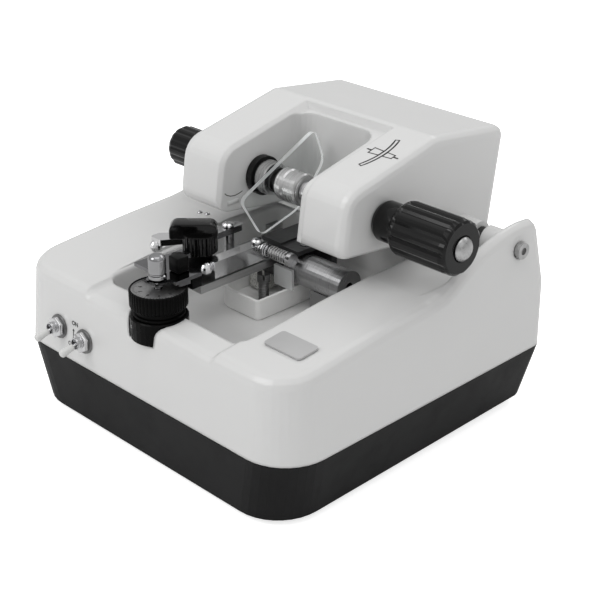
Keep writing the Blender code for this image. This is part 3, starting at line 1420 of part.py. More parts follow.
def make_wheel_bracket():
    bracket = block(
        "wheel_bracket",
        (BRACKET_LEFT, BRACKET_BLOCK_RIGHT),
        (BRACKET_FRONT, BRACKET_BLOCK_BACK),
        (BRACKET_BLOCK_LOW, BRACKET_BLOCK_HIGH),
    )
    plate = block(
        "bracket_plate",
        (BRACKET_LEFT, BRACKET_PLATE_RIGHT),
        (BRACKET_FRONT, BRACKET_BACK),
        (BRACKET_PLATE_LOW, BRACKET_PLATE_HIGH),
    )
    leg = block(
        "bracket_leg",
        (BRACKET_LEFT, BRACKET_PLATE_RIGHT),
        (BRACKET_BACK - BRACKET_LEG_THICKNESS, BRACKET_BACK),
        (TRAY_FLOOR + GAP, BRACKET_PLATE_LOW + GAP),
    )
    join(bracket, plate, leg)
    bore = ARBOR_RADIUS + BORE_GAP
    profile = [(bore, BRACKET_LEFT - OVERRUN), (bore, BRACKET_BLOCK_RIGHT + OVERRUN)]
    cut(bracket, turned("bore", "X", (WHEEL_Y, WHEEL_Z), profile, SMALL_ROUND_STEPS))
    seat = BRACKET_PLATE_HIGH - BRACKET_SCREW_HEIGHT
    spot = (BRACKET_SCREW_X, BRACKET_SCREW_Y)
    recess = BRACKET_SCREW_RADIUS + GAP
    cut(bracket, turned("recess", "Z", spot, [(recess, seat), (recess, BRACKET_PLATE_HIGH + OVERRUN)]))
    finish(bracket, "dark_steel")
    low = seat + GAP
    high = low + BRACKET_SCREW_HEIGHT
    profile = [
        (BRACKET_SCREW_RADIUS, low),
        (BRACKET_SCREW_RADIUS, high),
        (BRACKET_SCREW_SOCKET, high),
        (BRACKET_SCREW_SOCKET, low + GAP),
    ]
    finish(turned("bracket_screw", "Z", spot, profile, SMALL_ROUND_STEPS), "black_knob")


def make_wheel_motor():
    centre = (WHEEL_Y, WHEEL_Z)
    bore = ARBOR_RADIUS + BORE_GAP
    ring_end = MOTOR_LEFT + MOTOR_RING_WIDTH
    ring_radius = MOTOR_RADIUS - MOTOR_RING_STEP
    profile = [
        (bore, MOTOR_LEFT),
        (ring_radius, MOTOR_LEFT),
        (ring_radius, ring_end),
        (MOTOR_RADIUS, ring_end),
        (MOTOR_RADIUS, MOTOR_RIGHT),
        (bore, MOTOR_RIGHT),
    ]
    finish(turned("wheel_motor", "X", centre, profile, hollow=True), "motor_can")
    saddle = block(
        "motor_saddle",
        (SADDLE_LEFT, SADDLE_RIGHT),
        (WHEEL_Y - SADDLE_HALF_DEPTH, WHEEL_Y + SADDLE_HALF_DEPTH),
        (TRAY_FLOOR + GAP, WHEEL_Z),
    )
    seat = MOTOR_RADIUS + GAP
    seat_profile = [(seat, SADDLE_LEFT - OVERRUN), (seat, SADDLE_RIGHT + OVERRUN)]
    cut(saddle, turned("seat", "X", centre, seat_profile))
    finish(saddle, "inner_plate")


def make_cup():
    corners = [
        (CUP_LEFT, CUP_FRONT, CUP_FRONT_ROUND),
        (CUP_RIGHT, CUP_FRONT, CUP_CORNER),
        (CUP_RIGHT, CUP_BACK, CUP_CORNER),
        (CUP_LEFT, CUP_BACK, CUP_CORNER),
    ]
    outer = rounded(corners)
    inner = offset(outer, CUP_WALL)
    base = TRAY_FLOOR + GAP
    floor = cup_floor()
    rings = []
    for outline, level in ((outer, base), (outer, CUP_TOP), (inner, CUP_TOP), (inner, floor)):
        rings.append([(x, y, level) for x, y in outline])
    finish(loft("water_cup", rings), "white_plastic")
    outline = rectangle(SPONGE_LEFT, SPONGE_RIGHT, SPONGE_FRONT, SPONGE_BACK, SPONGE_ROUND, 2)
    finish(prism("sponge", "Z", outline, floor + GAP, SPONGE_TOP), "sponge")
    guard = block(
        "splash_guard",
        (GUARD_LEFT, GUARD_RIGHT),
        (GUARD_FRONT, GUARD_FRONT + GUARD_THICKNESS),
        (GUARD_LOW, GUARD_HIGH),
    )
    tab = block(
        "guard_tab",
        (GUARD_LEFT, GUARD_LEFT + GUARD_THICKNESS / 2),
        (GUARD_FRONT + GUARD_THICKNESS / 2, BRACKET_FRONT - GAP),
        (GUARD_TAB_LOW, GUARD_TAB_HIGH),
    )
    finish(join(guard, tab), "guard_plastic")


# Hood


def hood_outline():
    return rounded(HOOD_PROFILE)


def nose_stations(reach_back):
    """Points up the hood's front and along its top to a distance back, with outward directions."""
    outline = hood_outline()
    first = HOOD_NOSE_CORNER_COUNT * (CORNER_STEPS + 1)
    arc = [Vector(point) for point in outline[first:first + CORNER_STEPS + 1]]
    arc.reverse()
    front_low = Vector(HOOD_PROFILE[0][:2])
    up = (arc[0] - front_low).normalized()
    top_far = Vector(HOOD_PROFILE[-2][:2])
    along = (top_far - arc[-1]).normalized()
    start = front_low - up * HOOD_PROFILE[0][2]
    end = arc[-1] + along * ((reach_back - arc[-1].x) / along.x)
    points = [start, *arc, end]
    stations = []
    for i, point in enumerate(points):
        before = points[max(i - 1, 0)]
        after = points[min(i + 1, len(points) - 1)]
        heading = (after - before).normalized()
        stations.append((point, Vector((-heading.y, heading.x))))
    return stations


def make_notch_rim(margin):
    """The stepped rim of the U cut: a trapezoid carried round the hood's nose and top."""
    depth = RIM_DEPTH + margin
    slope = RIM_RUN / RIM_DEPTH
    left = RIM_LEFT - margin
    right = RIM_RIGHT + margin
    out = OVERRUN * slope
    rings = []
    stations = nose_stations(RIM_BACK + margin)
    for i, (point, outward) in enumerate(stations):
        high = point + outward * OVERRUN
        low = point - outward * depth
        if i == len(stations) - 1:
            low.x -= RIM_RUN
        rings.append(
            [
                (left - out, high.x, high.y),
                (right + out, high.x, high.y),
                (right - RIM_RUN, low.x, low.y),
                (left + RIM_RUN, low.x, low.y),
            ]
        )
    return loft("notch_rim", rings)


def make_notch(margin):
    back = NOTCH_BACK + margin
    left = NOTCH_LEFT - margin
    right = NOTCH_RIGHT + margin
    outline = rounded(
        [
            (left, NOTCH_FRONT, GAP),
            (right, NOTCH_FRONT, GAP),
            (right, back, NOTCH_CORNER),
            (left, back, NOTCH_CORNER),
        ]
    )
    return prism("notch", "Z", outline, NOTCH_LOW, NOTCH_HIGH)


def make_hood_outside():
    outline = hood_outline()
    rings = []
    for side in (-1, 1):
        steps = range(EDGE_STEPS, -1, -1) if side < 0 else range(EDGE_STEPS + 1)
        for step in steps:
            turn = FULL_TURN / 4 * step / EDGE_STEPS
            inset = HOOD_SIDE_ROUND * (1 - math.cos(turn))
            reach = HOOD_HALF_WIDTH - HOOD_SIDE_ROUND * (1 - math.sin(turn))
            rings.append([(side * reach, y, z) for y, z in offset(outline, inset)])
    return loft("hood_shell", rings)


def make_hood_hollow():
    half = HOOD_HALF_WIDTH - HOOD_WALL
    inner = offset(hood_outline(), HOOD_WALL)
    hollow = prism("hood_hollow", "X", inner, -half, half)
    opening = block(
        "hood_opening",
        (-half, half),
        (HOOD_OPENING_FRONT, HOOD_OPENING_BACK),
        (HOOD_OPENING_LOW, HOOD_OPENING_HIGH),
    )
    join(hollow, opening)
    return cut(hollow, make_notch(HOOD_WALL), make_notch_rim(HOOD_WALL))


def make_bore(axis, centre, radius, low, high):
    return turned("bore", axis, centre, [(radius, low), (radius, high)], SMALL_ROUND_STEPS)


def make_hood():
    hood = make_hood_outside()
    cut(hood, make_hood_hollow(), make_notch(0), make_notch_rim(0))
    for side in (-1, 1):
        profile = [(HOOD_BOSS_RADIUS, side * HOOD_BOSS_ROOT), (HOOD_BOSS_RADIUS, side * HOOD_BOSS_OUTER)]
        join(hood, turned("hood_boss", "X", (HINGE_Y, HINGE_Z), profile))
        bore = HINGE_SCREW_SHANK + BORE_GAP
        low = HOOD_BOSS_ROOT - OVERRUN
        cut(hood, make_bore("X", (HINGE_Y, HINGE_Z), bore, side * low, side * (HOOD_BOSS_OUTER + OVERRUN)))
    chuck = (CHUCK_Y, CHUCK_Z)
    outside = HOOD_HALF_WIDTH + OVERRUN
    spindle = SPINDLE_RADIUS + BORE_GAP
    shaft = CLAMP_SHAFT_RADIUS + BORE_GAP
    neck = BUSH_NECK_RADIUS + BORE_GAP
    inner_wall = NOTCH_LEFT - HOOD_WALL - OVERRUN
    cut(hood, make_bore("X", chuck, spindle, -outside, -HOOD_HALF_WIDTH + HOOD_WALL + OVERRUN))
    cut(hood, make_bore("X", chuck, neck, inner_wall, NOTCH_LEFT + OVERRUN))
    cut(hood, make_bore("X", chuck, shaft, NOTCH_RIGHT - OVERRUN, outside))
    finish(hood, "white_hood", (0, HINGE_Y, HINGE_Z))


def make_underplate():
    half = HOOD_HALF_WIDTH - HOOD_WALL - GAP
    upper = [(y, z + UNDERPLATE_THICKNESS) for y, z in UNDERPLATE_LINE]
    plate = prism("hood_underplate", "X", list(UNDERPLATE_LINE) + upper[::-1], -half, half)
    cut(plate, make_notch(HOOD_WALL + GAP))
    finish(plate, "inner_plate")


def make_hinge():
    centre = (HINGE_Y, HINGE_Z)
    seat = HINGE_SEAT + GAP
    head = seat + HINGE_SCREW_HEAD_HEIGHT
    bore = HINGE_SCREW_SHANK + BORE_GAP
    for name, side in (("left", -1), ("right", 1)):
        profile = [
            (HINGE_SCREW_SHANK, side * HINGE_SCREW_TIP),
            (HINGE_SCREW_SHANK, side * seat),
            (HINGE_SCREW_HEAD, side * seat),
            (HINGE_SCREW_HEAD, side * head),
            (HINGE_SOCKET_RADIUS, side * head),
            (HINGE_SOCKET_RADIUS, side * (head - HINGE_SOCKET_DEPTH)),
        ]
        finish(turned("hinge_screw_" + name, "X", centre, profile, SMALL_ROUND_STEPS), "satin_steel")
        low = side * (HOOD_BOSS_OUTER + GAP)
        high = low + side * HINGE_WASHER_THICKNESS
        washer_profile = [
            (bore, low),
            (HINGE_WASHER_RADIUS, low),
            (HINGE_WASHER_RADIUS, high),
            (bore, high),
        ]
        washer = turned("hinge_washer_" + name, "X", centre, washer_profile, SMALL_ROUND_STEPS, hollow=True)
        finish(washer, "black_knob")


# Chuck line


def make_left_spindle():
    chuck = (CHUCK_Y, CHUCK_Z)
    pulley_right = LENS_PULLEY_LEFT + LENS_PULLEY_WIDTH
    end = LEFT_CHUCK_START - GAP
    profile = [
        (SPINDLE_RADIUS, SPINDLE_LEFT),
        (SPINDLE_RADIUS, LENS_PULLEY_LEFT),
        (SPINDLE_PULLEY_RADIUS, LENS_PULLEY_LEFT),
        (SPINDLE_PULLEY_RADIUS, pulley_right),
        (SPINDLE_RADIUS, pulley_right),
        (SPINDLE_RADIUS, end),
    ]
    finish(turned("left_spindle", "X", chuck, profile, SMALL_ROUND_STEPS), "satin_steel", (0, *chuck))
    bore = SPINDLE_RADIUS + BORE_GAP
    bush_profile = [
        (bore, BUSH_NECK_LEFT),
        (BUSH_NECK_RADIUS, BUSH_NECK_LEFT),
        (BUSH_NECK_RADIUS, BUSH_FLANGE_LEFT),
        (BUSH_FLANGE_RADIUS, BUSH_FLANGE_LEFT),
        (BUSH_FLANGE_RADIUS, LEFT_CHUCK_START - GAP),
        (bore, LEFT_CHUCK_START - GAP),
    ]
    finish(turned("left_bush", "X", chuck, bush_profile, hollow=True), "black_knob")


def make_chucks():
    chuck = (CHUCK_Y, CHUCK_Z)
    lens_right = LENS_LEFT + LENS_THICKNESS
    left_pad = LENS_LEFT - GAP
    right_pad = lens_right + GAP
    left_end = left_pad - PAD_THICKNESS - GAP
    right_start = right_pad + PAD_THICKNESS + GAP
    groove = left_end - CHUCK_GROOVE_WIDTH * 2
    left_profile = [
        (LEFT_CHUCK_RADIUS - CHUCK_CHAMFER, LEFT_CHUCK_START),
        (LEFT_CHUCK_RADIUS, LEFT_CHUCK_START + CHUCK_CHAMFER),
        (LEFT_CHUCK_RADIUS, groove),
        (LEFT_CHUCK_RADIUS - CHUCK_GROOVE_DEPTH, groove),
        (LEFT_CHUCK_RADIUS - CHUCK_GROOVE_DEPTH, left_end),
    ]
    finish(turned("left_chuck", "X", chuck, left_profile), "satin_steel", (0, *chuck))
    right_profile = [
        (RIGHT_CHUCK_RADIUS - CHUCK_CHAMFER, right_start),
        (RIGHT_CHUCK_RADIUS, right_start + CHUCK_CHAMFER),
        (RIGHT_CHUCK_RADIUS, RIGHT_CHUCK_GROOVE - CHUCK_GROOVE_WIDTH),
        (RIGHT_CHUCK_RADIUS - CHUCK_GROOVE_DEPTH, RIGHT_CHUCK_GROOVE),
        (RIGHT_CHUCK_RADIUS, RIGHT_CHUCK_GROOVE + CHUCK_GROOVE_WIDTH),
        (RIGHT_CHUCK_RADIUS, RIGHT_CHUCK_END - CHUCK_CHAMFER),
        (RIGHT_CHUCK_RADIUS - CHUCK_CHAMFER, RIGHT_CHUCK_END),
        (RIGHT_CHUCK_RING_RADIUS, RIGHT_CHUCK_END),
        (RIGHT_CHUCK_RING_RADIUS, RIGHT_CHUCK_END + RIGHT_CHUCK_RING_WIDTH),
    ]
    finish(turned("right_chuck", "X", chuck, right_profile), "satin_steel", (0, *chuck))
    for name, start in (("left_pad", left_pad - PAD_THICKNESS), ("right_pad", right_pad)):
        profile = [(PAD_RADIUS, start), (PAD_RADIUS, start + PAD_THICKNESS)]
        finish(turned(name, "X", chuck, profile, SMALL_ROUND_STEPS), "rubber", (0, *chuck))
    shaft_start = RIGHT_CHUCK_END + RIGHT_CHUCK_RING_WIDTH + GAP
    profile = [(CLAMP_SHAFT_RADIUS, shaft_start), (CLAMP_SHAFT_RADIUS, CLAMP_SHAFT_END)]
    finish(turned("clamp_shaft", "X", chuck, profile), "chrome", (0, *chuck))


def make_lens():
    turn = Matrix.Rotation(LENS_TURN, 2)
    outline = []
    for u, w in rounded(LENS_OUTLINE):
        point = turn @ Vector((u, w))
        outline.append((CHUCK_Y + point.x, CHUCK_Z + point.y))
    lens = prism("clamped_lens", "X", outline, LENS_LEFT, LENS_LEFT + LENS_THICKNESS)
    finish(lens, "clear_lens", (0, CHUCK_Y, CHUCK_Z))


def make_knobs():
    chuck = (CHUCK_Y, CHUCK_Z)
    bore = SPINDLE_RADIUS + BORE_GAP
    bore_end = SPINDLE_LEFT - GAP
    depth = LEFT_KNOB_FLUTE_DEPTH
    outer = LEFT_KNOB_OUTER
    stations = [
        (bore, bore_end, 0),
        (bore, LEFT_KNOB_INNER, 0),
        (LEFT_KNOB_RADIUS - LEFT_KNOB_DOME / 2, LEFT_KNOB_INNER, 0),
        (LEFT_KNOB_RADIUS, LEFT_KNOB_INNER - LEFT_KNOB_DOME, depth),
        (LEFT_KNOB_RADIUS, outer + LEFT_KNOB_DOME * 2, depth),
        (LEFT_KNOB_RADIUS - LEFT_KNOB_DOME / 2, outer + LEFT_KNOB_DOME, depth / 2),
        (LEFT_KNOB_RADIUS - LEFT_KNOB_DOME * 2, outer, 0),
    ]
    knob = fluted("left_knob", "X", chuck, stations, LEFT_KNOB_FLUTES)
    finish(knob, "black_knob", (0, *chuck))
    bore = CLAMP_SHAFT_RADIUS + BORE_GAP
    seat_radius = CAP_RADIUS + GAP
    seat = CLAMP_KNOB_OUTER - CAP_SEAT_DEPTH
    depth = CLAMP_KNOB_FLUTE_DEPTH
    edge = CLAMP_KNOB_ROUND
    stations = [
        (bore, CLAMP_BORE_END, 0),
        (bore, CLAMP_COLLAR_INNER, 0),
        (CLAMP_COLLAR_RADIUS - edge / 2, CLAMP_COLLAR_INNER, 0),
        (CLAMP_COLLAR_RADIUS, CLAMP_COLLAR_INNER + edge, 0),
        (CLAMP_COLLAR_RADIUS, CLAMP_KNOB_INNER, 0),
        (CLAMP_KNOB_RADIUS - edge, CLAMP_KNOB_INNER, 0),
        (CLAMP_KNOB_RADIUS - edge / 4, CLAMP_KNOB_INNER + edge, 0),
        (CLAMP_KNOB_RADIUS, CLAMP_KNOB_INNER + edge * 2, depth),
        (CLAMP_KNOB_RADIUS, CLAMP_KNOB_OUTER - edge * 2, depth),
        (CLAMP_KNOB_RADIUS - edge / 3, CLAMP_KNOB_OUTER - edge / 2, depth / 2),
        (CLAMP_KNOB_RADIUS - edge, CLAMP_KNOB_OUTER, 0),
        (seat_radius, CLAMP_KNOB_OUTER, 0),
        (seat_radius, seat, 0),
    ]
    knob = fluted("clamp_knob", "X", chuck, stations, CLAMP_KNOB_FLUTES, BROAD_FLUTE_STEPS)
    finish(knob, "black_knob", (0, *chuck))
    cap_profile = [
        (CAP_RADIUS, seat + GAP),
        (CAP_RADIUS, CLAMP_KNOB_OUTER),
        (CAP_RADIUS - CAP_DOME / 2, CLAMP_KNOB_OUTER + CAP_DOME / 2),
        (CAP_RADIUS / 2, CLAMP_KNOB_OUTER + CAP_DOME),
    ]
    finish(turned("knob_cap", "X", chuck, cap_profile, SMALL_ROUND_STEPS), "chrome", (0, *chuck))


def belt_outline(first, second, radius):
    """The outline of a belt round two equal pulleys."""
    along = Vector((second[0] - first[0], second[1] - first[1]))
    heading = math.atan2(along.y, along.x)
    steps = 12
    outline = []
    for centre, start in ((first, heading + FULL_TURN / 4), (second, heading - FULL_TURN / 4)):
        for step in range(steps + 1):
            turn = start + FULL_TURN / 2 * step / steps
            outline.append((centre[0] + radius * math.cos(turn), centre[1] + radius * math.sin(turn)))
    return outline


def make_belt(name, first, second, radius, left, right):
    inner = belt_outline(first, second, radius + GAP)
    outer = belt_outline(first, second, radius + GAP + BELT_THICKNESS)
    rings = []
    for outline, x in ((inner, left), (outer, left), (outer, right), (inner, right)):
        rings.append([(x, y, z) for y, z in outline])
    finish(loft(name, rings, cyclic=True), "rubber")


def make_lens_motor():
    centre = (LENS_MOTOR_Y, LENS_MOTOR_Z)
    flange_left = LENS_MOTOR_LEFT - LENS_FLANGE_THICKNESS
    profile = [(LENS_MOTOR_RADIUS, flange_left + GAP), (LENS_MOTOR_RADIUS, LENS_MOTOR_RIGHT)]
    motor = turned("lens_motor", "X", centre, profile)
    flange = block(
        "flange",
        (flange_left, LENS_MOTOR_LEFT),
        (LENS_FLANGE_FRONT, LENS_FLANGE_BACK),
        (LENS_FLANGE_LOW, LENS_FLANGE_HIGH),
    )
    join(motor, flange)
    finish(motor, "motor_can")
    pulley_right = LENS_PULLEY_LEFT + LENS_PULLEY_WIDTH
    shaft_profile = [
        (SPINDLE_PULLEY_RADIUS, LENS_PULLEY_LEFT),
        (SPINDLE_PULLEY_RADIUS, pulley_right),
        (LENS_MOTOR_SHAFT, pulley_right),
        (LENS_MOTOR_SHAFT, flange_left - GAP),
    ]
    pulley = turned("lens_motor_pulley", "X", centre, shaft_profile, SMALL_ROUND_STEPS)
    finish(pulley, "satin_steel", (LENS_PULLEY_LEFT, *centre))
    chuck = (CHUCK_Y, CHUCK_Z)
    make_belt("lens_belt", chuck, centre, SPINDLE_PULLEY_RADIUS, LENS_PULLEY_LEFT, pulley_right)


def build():
    clear_scene()
    make_skirt()
    make_cover()
    make_feet()
    make_casing()
    make_label()
    make_inlet()
    make_board()
    make_toggle("left", TOGGLE_LEFT_X, TOGGLE_LEFT_Z)
    make_toggle("right", TOGGLE_RIGHT_X, TOGGLE_RIGHT_Z)
    make_dial()
    make_post()
    make_front_plate()
    make_guide_base()
    make_carriage_pivot()
    make_guide_arms()
    make_tension()
    make_selector()
    make_adjust_screw()
    make_wheel_drive()
    make_wheel_bracket()
    make_wheel_motor()
    make_cup()
    make_hood()
    make_underplate()
    make_hinge()
    make_left_spindle()
    make_chucks()
    make_lens()
    make_knobs()
    make_lens_motor()


build()
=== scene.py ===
import math

import bmesh
import bpy
from mathutils import Matrix, Vector


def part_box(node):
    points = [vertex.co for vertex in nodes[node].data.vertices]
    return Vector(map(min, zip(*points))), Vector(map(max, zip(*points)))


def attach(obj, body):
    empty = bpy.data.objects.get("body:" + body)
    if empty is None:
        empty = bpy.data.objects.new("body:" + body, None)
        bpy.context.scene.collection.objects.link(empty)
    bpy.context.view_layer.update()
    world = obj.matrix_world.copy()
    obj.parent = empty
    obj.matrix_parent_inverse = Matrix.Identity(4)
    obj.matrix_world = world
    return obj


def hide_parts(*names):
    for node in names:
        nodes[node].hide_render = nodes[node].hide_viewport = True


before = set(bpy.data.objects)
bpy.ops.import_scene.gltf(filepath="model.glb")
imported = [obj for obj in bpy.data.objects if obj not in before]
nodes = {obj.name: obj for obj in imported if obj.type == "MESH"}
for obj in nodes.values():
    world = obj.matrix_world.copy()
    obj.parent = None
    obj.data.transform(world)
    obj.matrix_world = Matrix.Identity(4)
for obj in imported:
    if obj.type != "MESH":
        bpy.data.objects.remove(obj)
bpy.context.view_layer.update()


# The machine stands on a plain pale table that runs far behind it.
# The table keeps the soft shadow; seen directly it reads as the white of the photograph.
table_top = -0.0056
work = bmesh.new()
bmesh.ops.create_grid(work, x_segments=2, y_segments=2, size=6)
bmesh.ops.translate(work, verts=work.verts, vec=(0, 0, table_top))
table_mesh = bpy.data.meshes.new("table")
work.to_mesh(table_mesh)
work.free()
table = bpy.data.objects.new("table", table_mesh)
bpy.context.scene.collection.objects.link(table)
table_paint = bpy.data.materials.new("table_paint")
table_paint.use_nodes = True
tree = table_paint.node_tree
tree.nodes.clear()
paint = tree.nodes.new("ShaderNodeBsdfDiffuse")
paint.inputs["Color"].default_value = (0.9, 0.9, 0.9, 1)
glow = tree.nodes.new("ShaderNodeEmission")
glow.inputs["Color"].default_value = (1, 1, 1, 1)
ray = tree.nodes.new("ShaderNodeLightPath")
seen = tree.nodes.new("ShaderNodeMath")
seen.operation = "MAXIMUM"
tree.links.new(ray.outputs["Is Camera Ray"], seen.inputs[0])
tree.links.new(ray.outputs["Is Transmission Ray"], seen.inputs[1])
amount = tree.nodes.new("ShaderNodeMath")
amount.operation = "MULTIPLY"
amount.inputs[1].default_value = 0.72
tree.links.new(seen.outputs[0], amount.inputs[0])
tree.links.new(amount.outputs[0], glow.inputs["Strength"])
both = tree.nodes.new("ShaderNodeAddShader")
tree.links.new(paint.outputs[0], both.inputs[0])
tree.links.new(glow.outputs[0], both.inputs[1])
out = tree.nodes.new("ShaderNodeOutputMaterial")
tree.links.new(both.outputs[0], out.inputs["Surface"])
table_mesh.materials.append(table_paint)


# The camera stands at the front right corner, a little above the machine.
# Its place and lens were measured from the straight edges of the casing.
view = bpy.data.cameras.new("view")
view.lens = 83.6
view.sensor_width = 36
view.clip_start = 0.01
camera = bpy.data.objects.new("camera", view)
camera.location = (0.3984, -0.3773, 0.3104)
camera.rotation_euler = (math.radians(63.97), 0, math.radians(45.47))
bpy.context.scene.collection.objects.link(camera)
bpy.context.scene.camera = camera
view.dof.use_dof = False
bpy.context.scene.view_settings.view_transform = "Standard"


# Studio light: an even pale room and four soft panels.
# The panels give the long highlights on the gloss shell and the bright bands on the metal.
room = bpy.data.worlds.new("room")
room.use_nodes = True
bpy.context.scene.world = room
tree = room.node_tree
tree.nodes.clear()
where = tree.nodes.new("ShaderNodeTexCoord")
split = tree.nodes.new("ShaderNodeSeparateXYZ")
tree.links.new(where.outputs["Generated"], split.inputs[0])
fade = tree.nodes.new("ShaderNodeValToRGB")
fade.color_ramp.elements[0].position = 0.0
fade.color_ramp.elements[0].color = (0.56, 0.56, 0.56, 1)
fade.color_ramp.elements[1].position = 0.75
fade.color_ramp.elements[1].color = (0.66, 0.66, 0.66, 1)
middle = fade.color_ramp.elements.new(0.3)
middle.color = (0.48, 0.48, 0.48, 1)
tree.links.new(split.outputs["Z"], fade.inputs["Fac"])
air = tree.nodes.new("ShaderNodeBackground")
tree.links.new(fade.outputs["Color"], air.inputs["Color"])
out = tree.nodes.new("ShaderNodeOutputWorld")
tree.links.new(air.outputs[0], out.inputs["Surface"])
panels = (
    ("panel_left", (-0.45, -0.95, 1.05), 0.75, 0.75, 5.0),
    ("panel_right", (1.15, -0.35, 0.75), 0.6, 0.9, 0.5),
    ("panel_top", (0.15, -0.1, 1.3), 0.9, 0.9, 2.2),
    ("panel_back", (-0.1, 0.95, 1.0), 1.2, 0.4, 2.0),
)
for name, place, width, height, power in panels:
    lamp = bpy.data.lights.new(name, "AREA")
    lamp.shape = "RECTANGLE"
    lamp.size = width
    lamp.size_y = height
    lamp.energy = power
    panel = bpy.data.objects.new(name, lamp)
    panel.location = place
    aim = Vector((0, 0, 0.05)) - Vector(place)
    panel.rotation_euler = aim.to_track_quat("-Z", "Y").to_euler()
    bpy.context.scene.collection.objects.link(panel)


# Upper casing: one glossy white moulding with the tray, the dial's pocket and two ears.
# The gloss carries a faint waviness of the mould and a little handling haze.
def new_group(name, inputs, outputs):
    group = bpy.data.node_groups.new(name, "ShaderNodeTree")
    for title, kind, value in inputs:
        socket = group.interface.new_socket(title, in_out="INPUT", socket_type=kind)
        if value is not None:
            socket.default_value = value
    for title, kind in outputs:
        group.interface.new_socket(title, in_out="OUTPUT", socket_type=kind)
    return group, group.nodes.new("NodeGroupInput"), group.nodes.new("NodeGroupOutput")


def make_mould_grain():
    """Fine grain for the bump, and a slow drift for tone and roughness."""
    group, start, end = new_group(
        "mould_grain",
        (
            ("Vector", "NodeSocketVector", None),
            ("Grain Scale", "NodeSocketFloat", 1500.0),
            ("Drift Scale", "NodeSocketFloat", 25.0),
        ),
        (("Grain", "NodeSocketFloat"), ("Drift", "NodeSocketFloat")),
    )
    for scale, detail, result in (("Grain Scale", 3.0, "Grain"), ("Drift Scale", 5.0, "Drift")):
        noise = group.nodes.new("ShaderNodeTexNoise")
        noise.inputs["Detail"].default_value = detail
        group.links.new(start.outputs["Vector"], noise.inputs["Vector"])
        group.links.new(start.outputs[scale], noise.inputs["Scale"])
        group.links.new(noise.outputs["Fac"], end.inputs[result])
    return group


def make_fine_dust():
    """A mask of small specks and of the haze that hands leave."""
    group, start, end = new_group(
        "fine_dust",
        (("Vector", "NodeSocketVector", None), ("Speck Scale", "NodeSocketFloat", 900.0)),
        (("Specks", "NodeSocketFloat"), ("Haze", "NodeSocketFloat")),
    )
    cells = group.nodes.new("ShaderNodeTexVoronoi")
    group.links.new(start.outputs["Vector"], cells.inputs["Vector"])
    group.links.new(start.outputs["Speck Scale"], cells.inputs["Scale"])
    near = group.nodes.new("ShaderNodeMapRange")
    near.inputs["From Min"].default_value = 0.1
    near.inputs["From Max"].default_value = 0.02
    group.links.new(cells.outputs["Distance"], near.inputs["Value"])
    group.links.new(near.outputs["Result"], end.inputs["Specks"])
    cloud = group.nodes.new("ShaderNodeTexNoise")
    cloud.inputs["Scale"].default_value = 60.0
    cloud.inputs["Detail"].default_value = 6.0
    cloud.inputs["Roughness"].default_value = 0.65
    group.links.new(start.outputs["Vector"], cloud.inputs["Vector"])
    haze = group.nodes.new("ShaderNodeMapRange")
    haze.inputs["From Min"].default_value = 0.45
    haze.inputs["From Max"].default_value = 0.75
    group.links.new(cloud.outputs["Fac"], haze.inputs["Value"])
    group.links.new(haze.outputs["Result"], end.inputs["Haze"])
    return group


mould_grain = make_mould_grain()
fine_dust = make_fine_dust()


def blank_material(name):
    made = bpy.data.materials.new(name)
    made.use_nodes = True
    shader = made.node_tree.nodes["Principled BSDF"]
    place = made.node_tree.nodes.new("ShaderNodeTexCoord")
    return made, made.node_tree, shader, place.outputs["Object"]


def use_group(tree, group, vector, **values):
    placed = tree.nodes.new("ShaderNodeGroup")
    placed.node_tree = group
    tree.links.new(vector, placed.inputs["Vector"])
    for title, value in values.items():
        placed.inputs[title.replace("_", " ")].default_value = value
    return placed


def blend_colours(tree, mask, low, high):
    mix = tree.nodes.new("ShaderNodeMix")
    mix.data_type = "RGBA"
    mix.inputs["A"].default_value = (*low, 1)
    mix.inputs["B"].default_value = (*high, 1)
    tree.links.new(mask, mix.inputs["Factor"])
    return mix.outputs["Result"]


def span(tree, mask, low, high, start=0.0, end=1.0):
    reach = tree.nodes.new("ShaderNodeMapRange")
    reach.inputs["From Min"].default_value = start
    reach.inputs["From Max"].default_value = end
    reach.inputs["To Min"].default_value = low
    reach.inputs["To Max"].default_value = high
    tree.links.new(mask, reach.inputs["Value"])
    return reach.outputs["Result"]


def raise_surface(tree, shader, height, distance, strength=1.0):
    bump = tree.nodes.new("ShaderNodeBump")
    bump.inputs["Distance"].default_value = distance
    bump.inputs["Strength"].default_value = strength
    tree.links.new(height, bump.inputs["Height"])
    tree.links.new(bump.outputs["Normal"], shader.inputs["Normal"])


def moulded_plastic(
    name, low, high, rough, grain=1500.0, depth=0.00001, specks=0.0, shine=0.5, haze=0.12
):
    """Plastic with the mould's grain, a slow drift of tone and a trace of dust."""
    made, tree, shader, place = blank_material(name)
    texture = use_group(tree, mould_grain, place, Grain_Scale=grain)
    dust = use_group(tree, fine_dust, place)
    colour = blend_colours(tree, span(tree, texture.outputs["Drift"], 0, 1, 0.3, 0.7), low, high)
    if specks:
        mix = tree.nodes.new("ShaderNodeMix")
        mix.data_type = "RGBA"
        mix.inputs["B"].default_value = (0.45, 0.44, 0.42, 1)
        tree.links.new(colour, mix.inputs["A"])
        tree.links.new(span(tree, dust.outputs["Specks"], 0, specks), mix.inputs["Factor"])
        colour = mix.outputs["Result"]
    tree.links.new(colour, shader.inputs["Base Color"])
    tree.links.new(span(tree, dust.outputs["Haze"], rough, rough + haze), shader.inputs["Roughness"])
    raise_surface(tree, shader, texture.outputs["Grain"], depth)
    shader.inputs["Specular IOR Level"].default_value = shine
    return made


def dress(name, material):
    """Give a carried-over node its material in place of the plain one."""
    slots = nodes[name].material_slots
    for place in slots:
        place.material = material
    if not slots:
        nodes[name].data.materials.append(material)


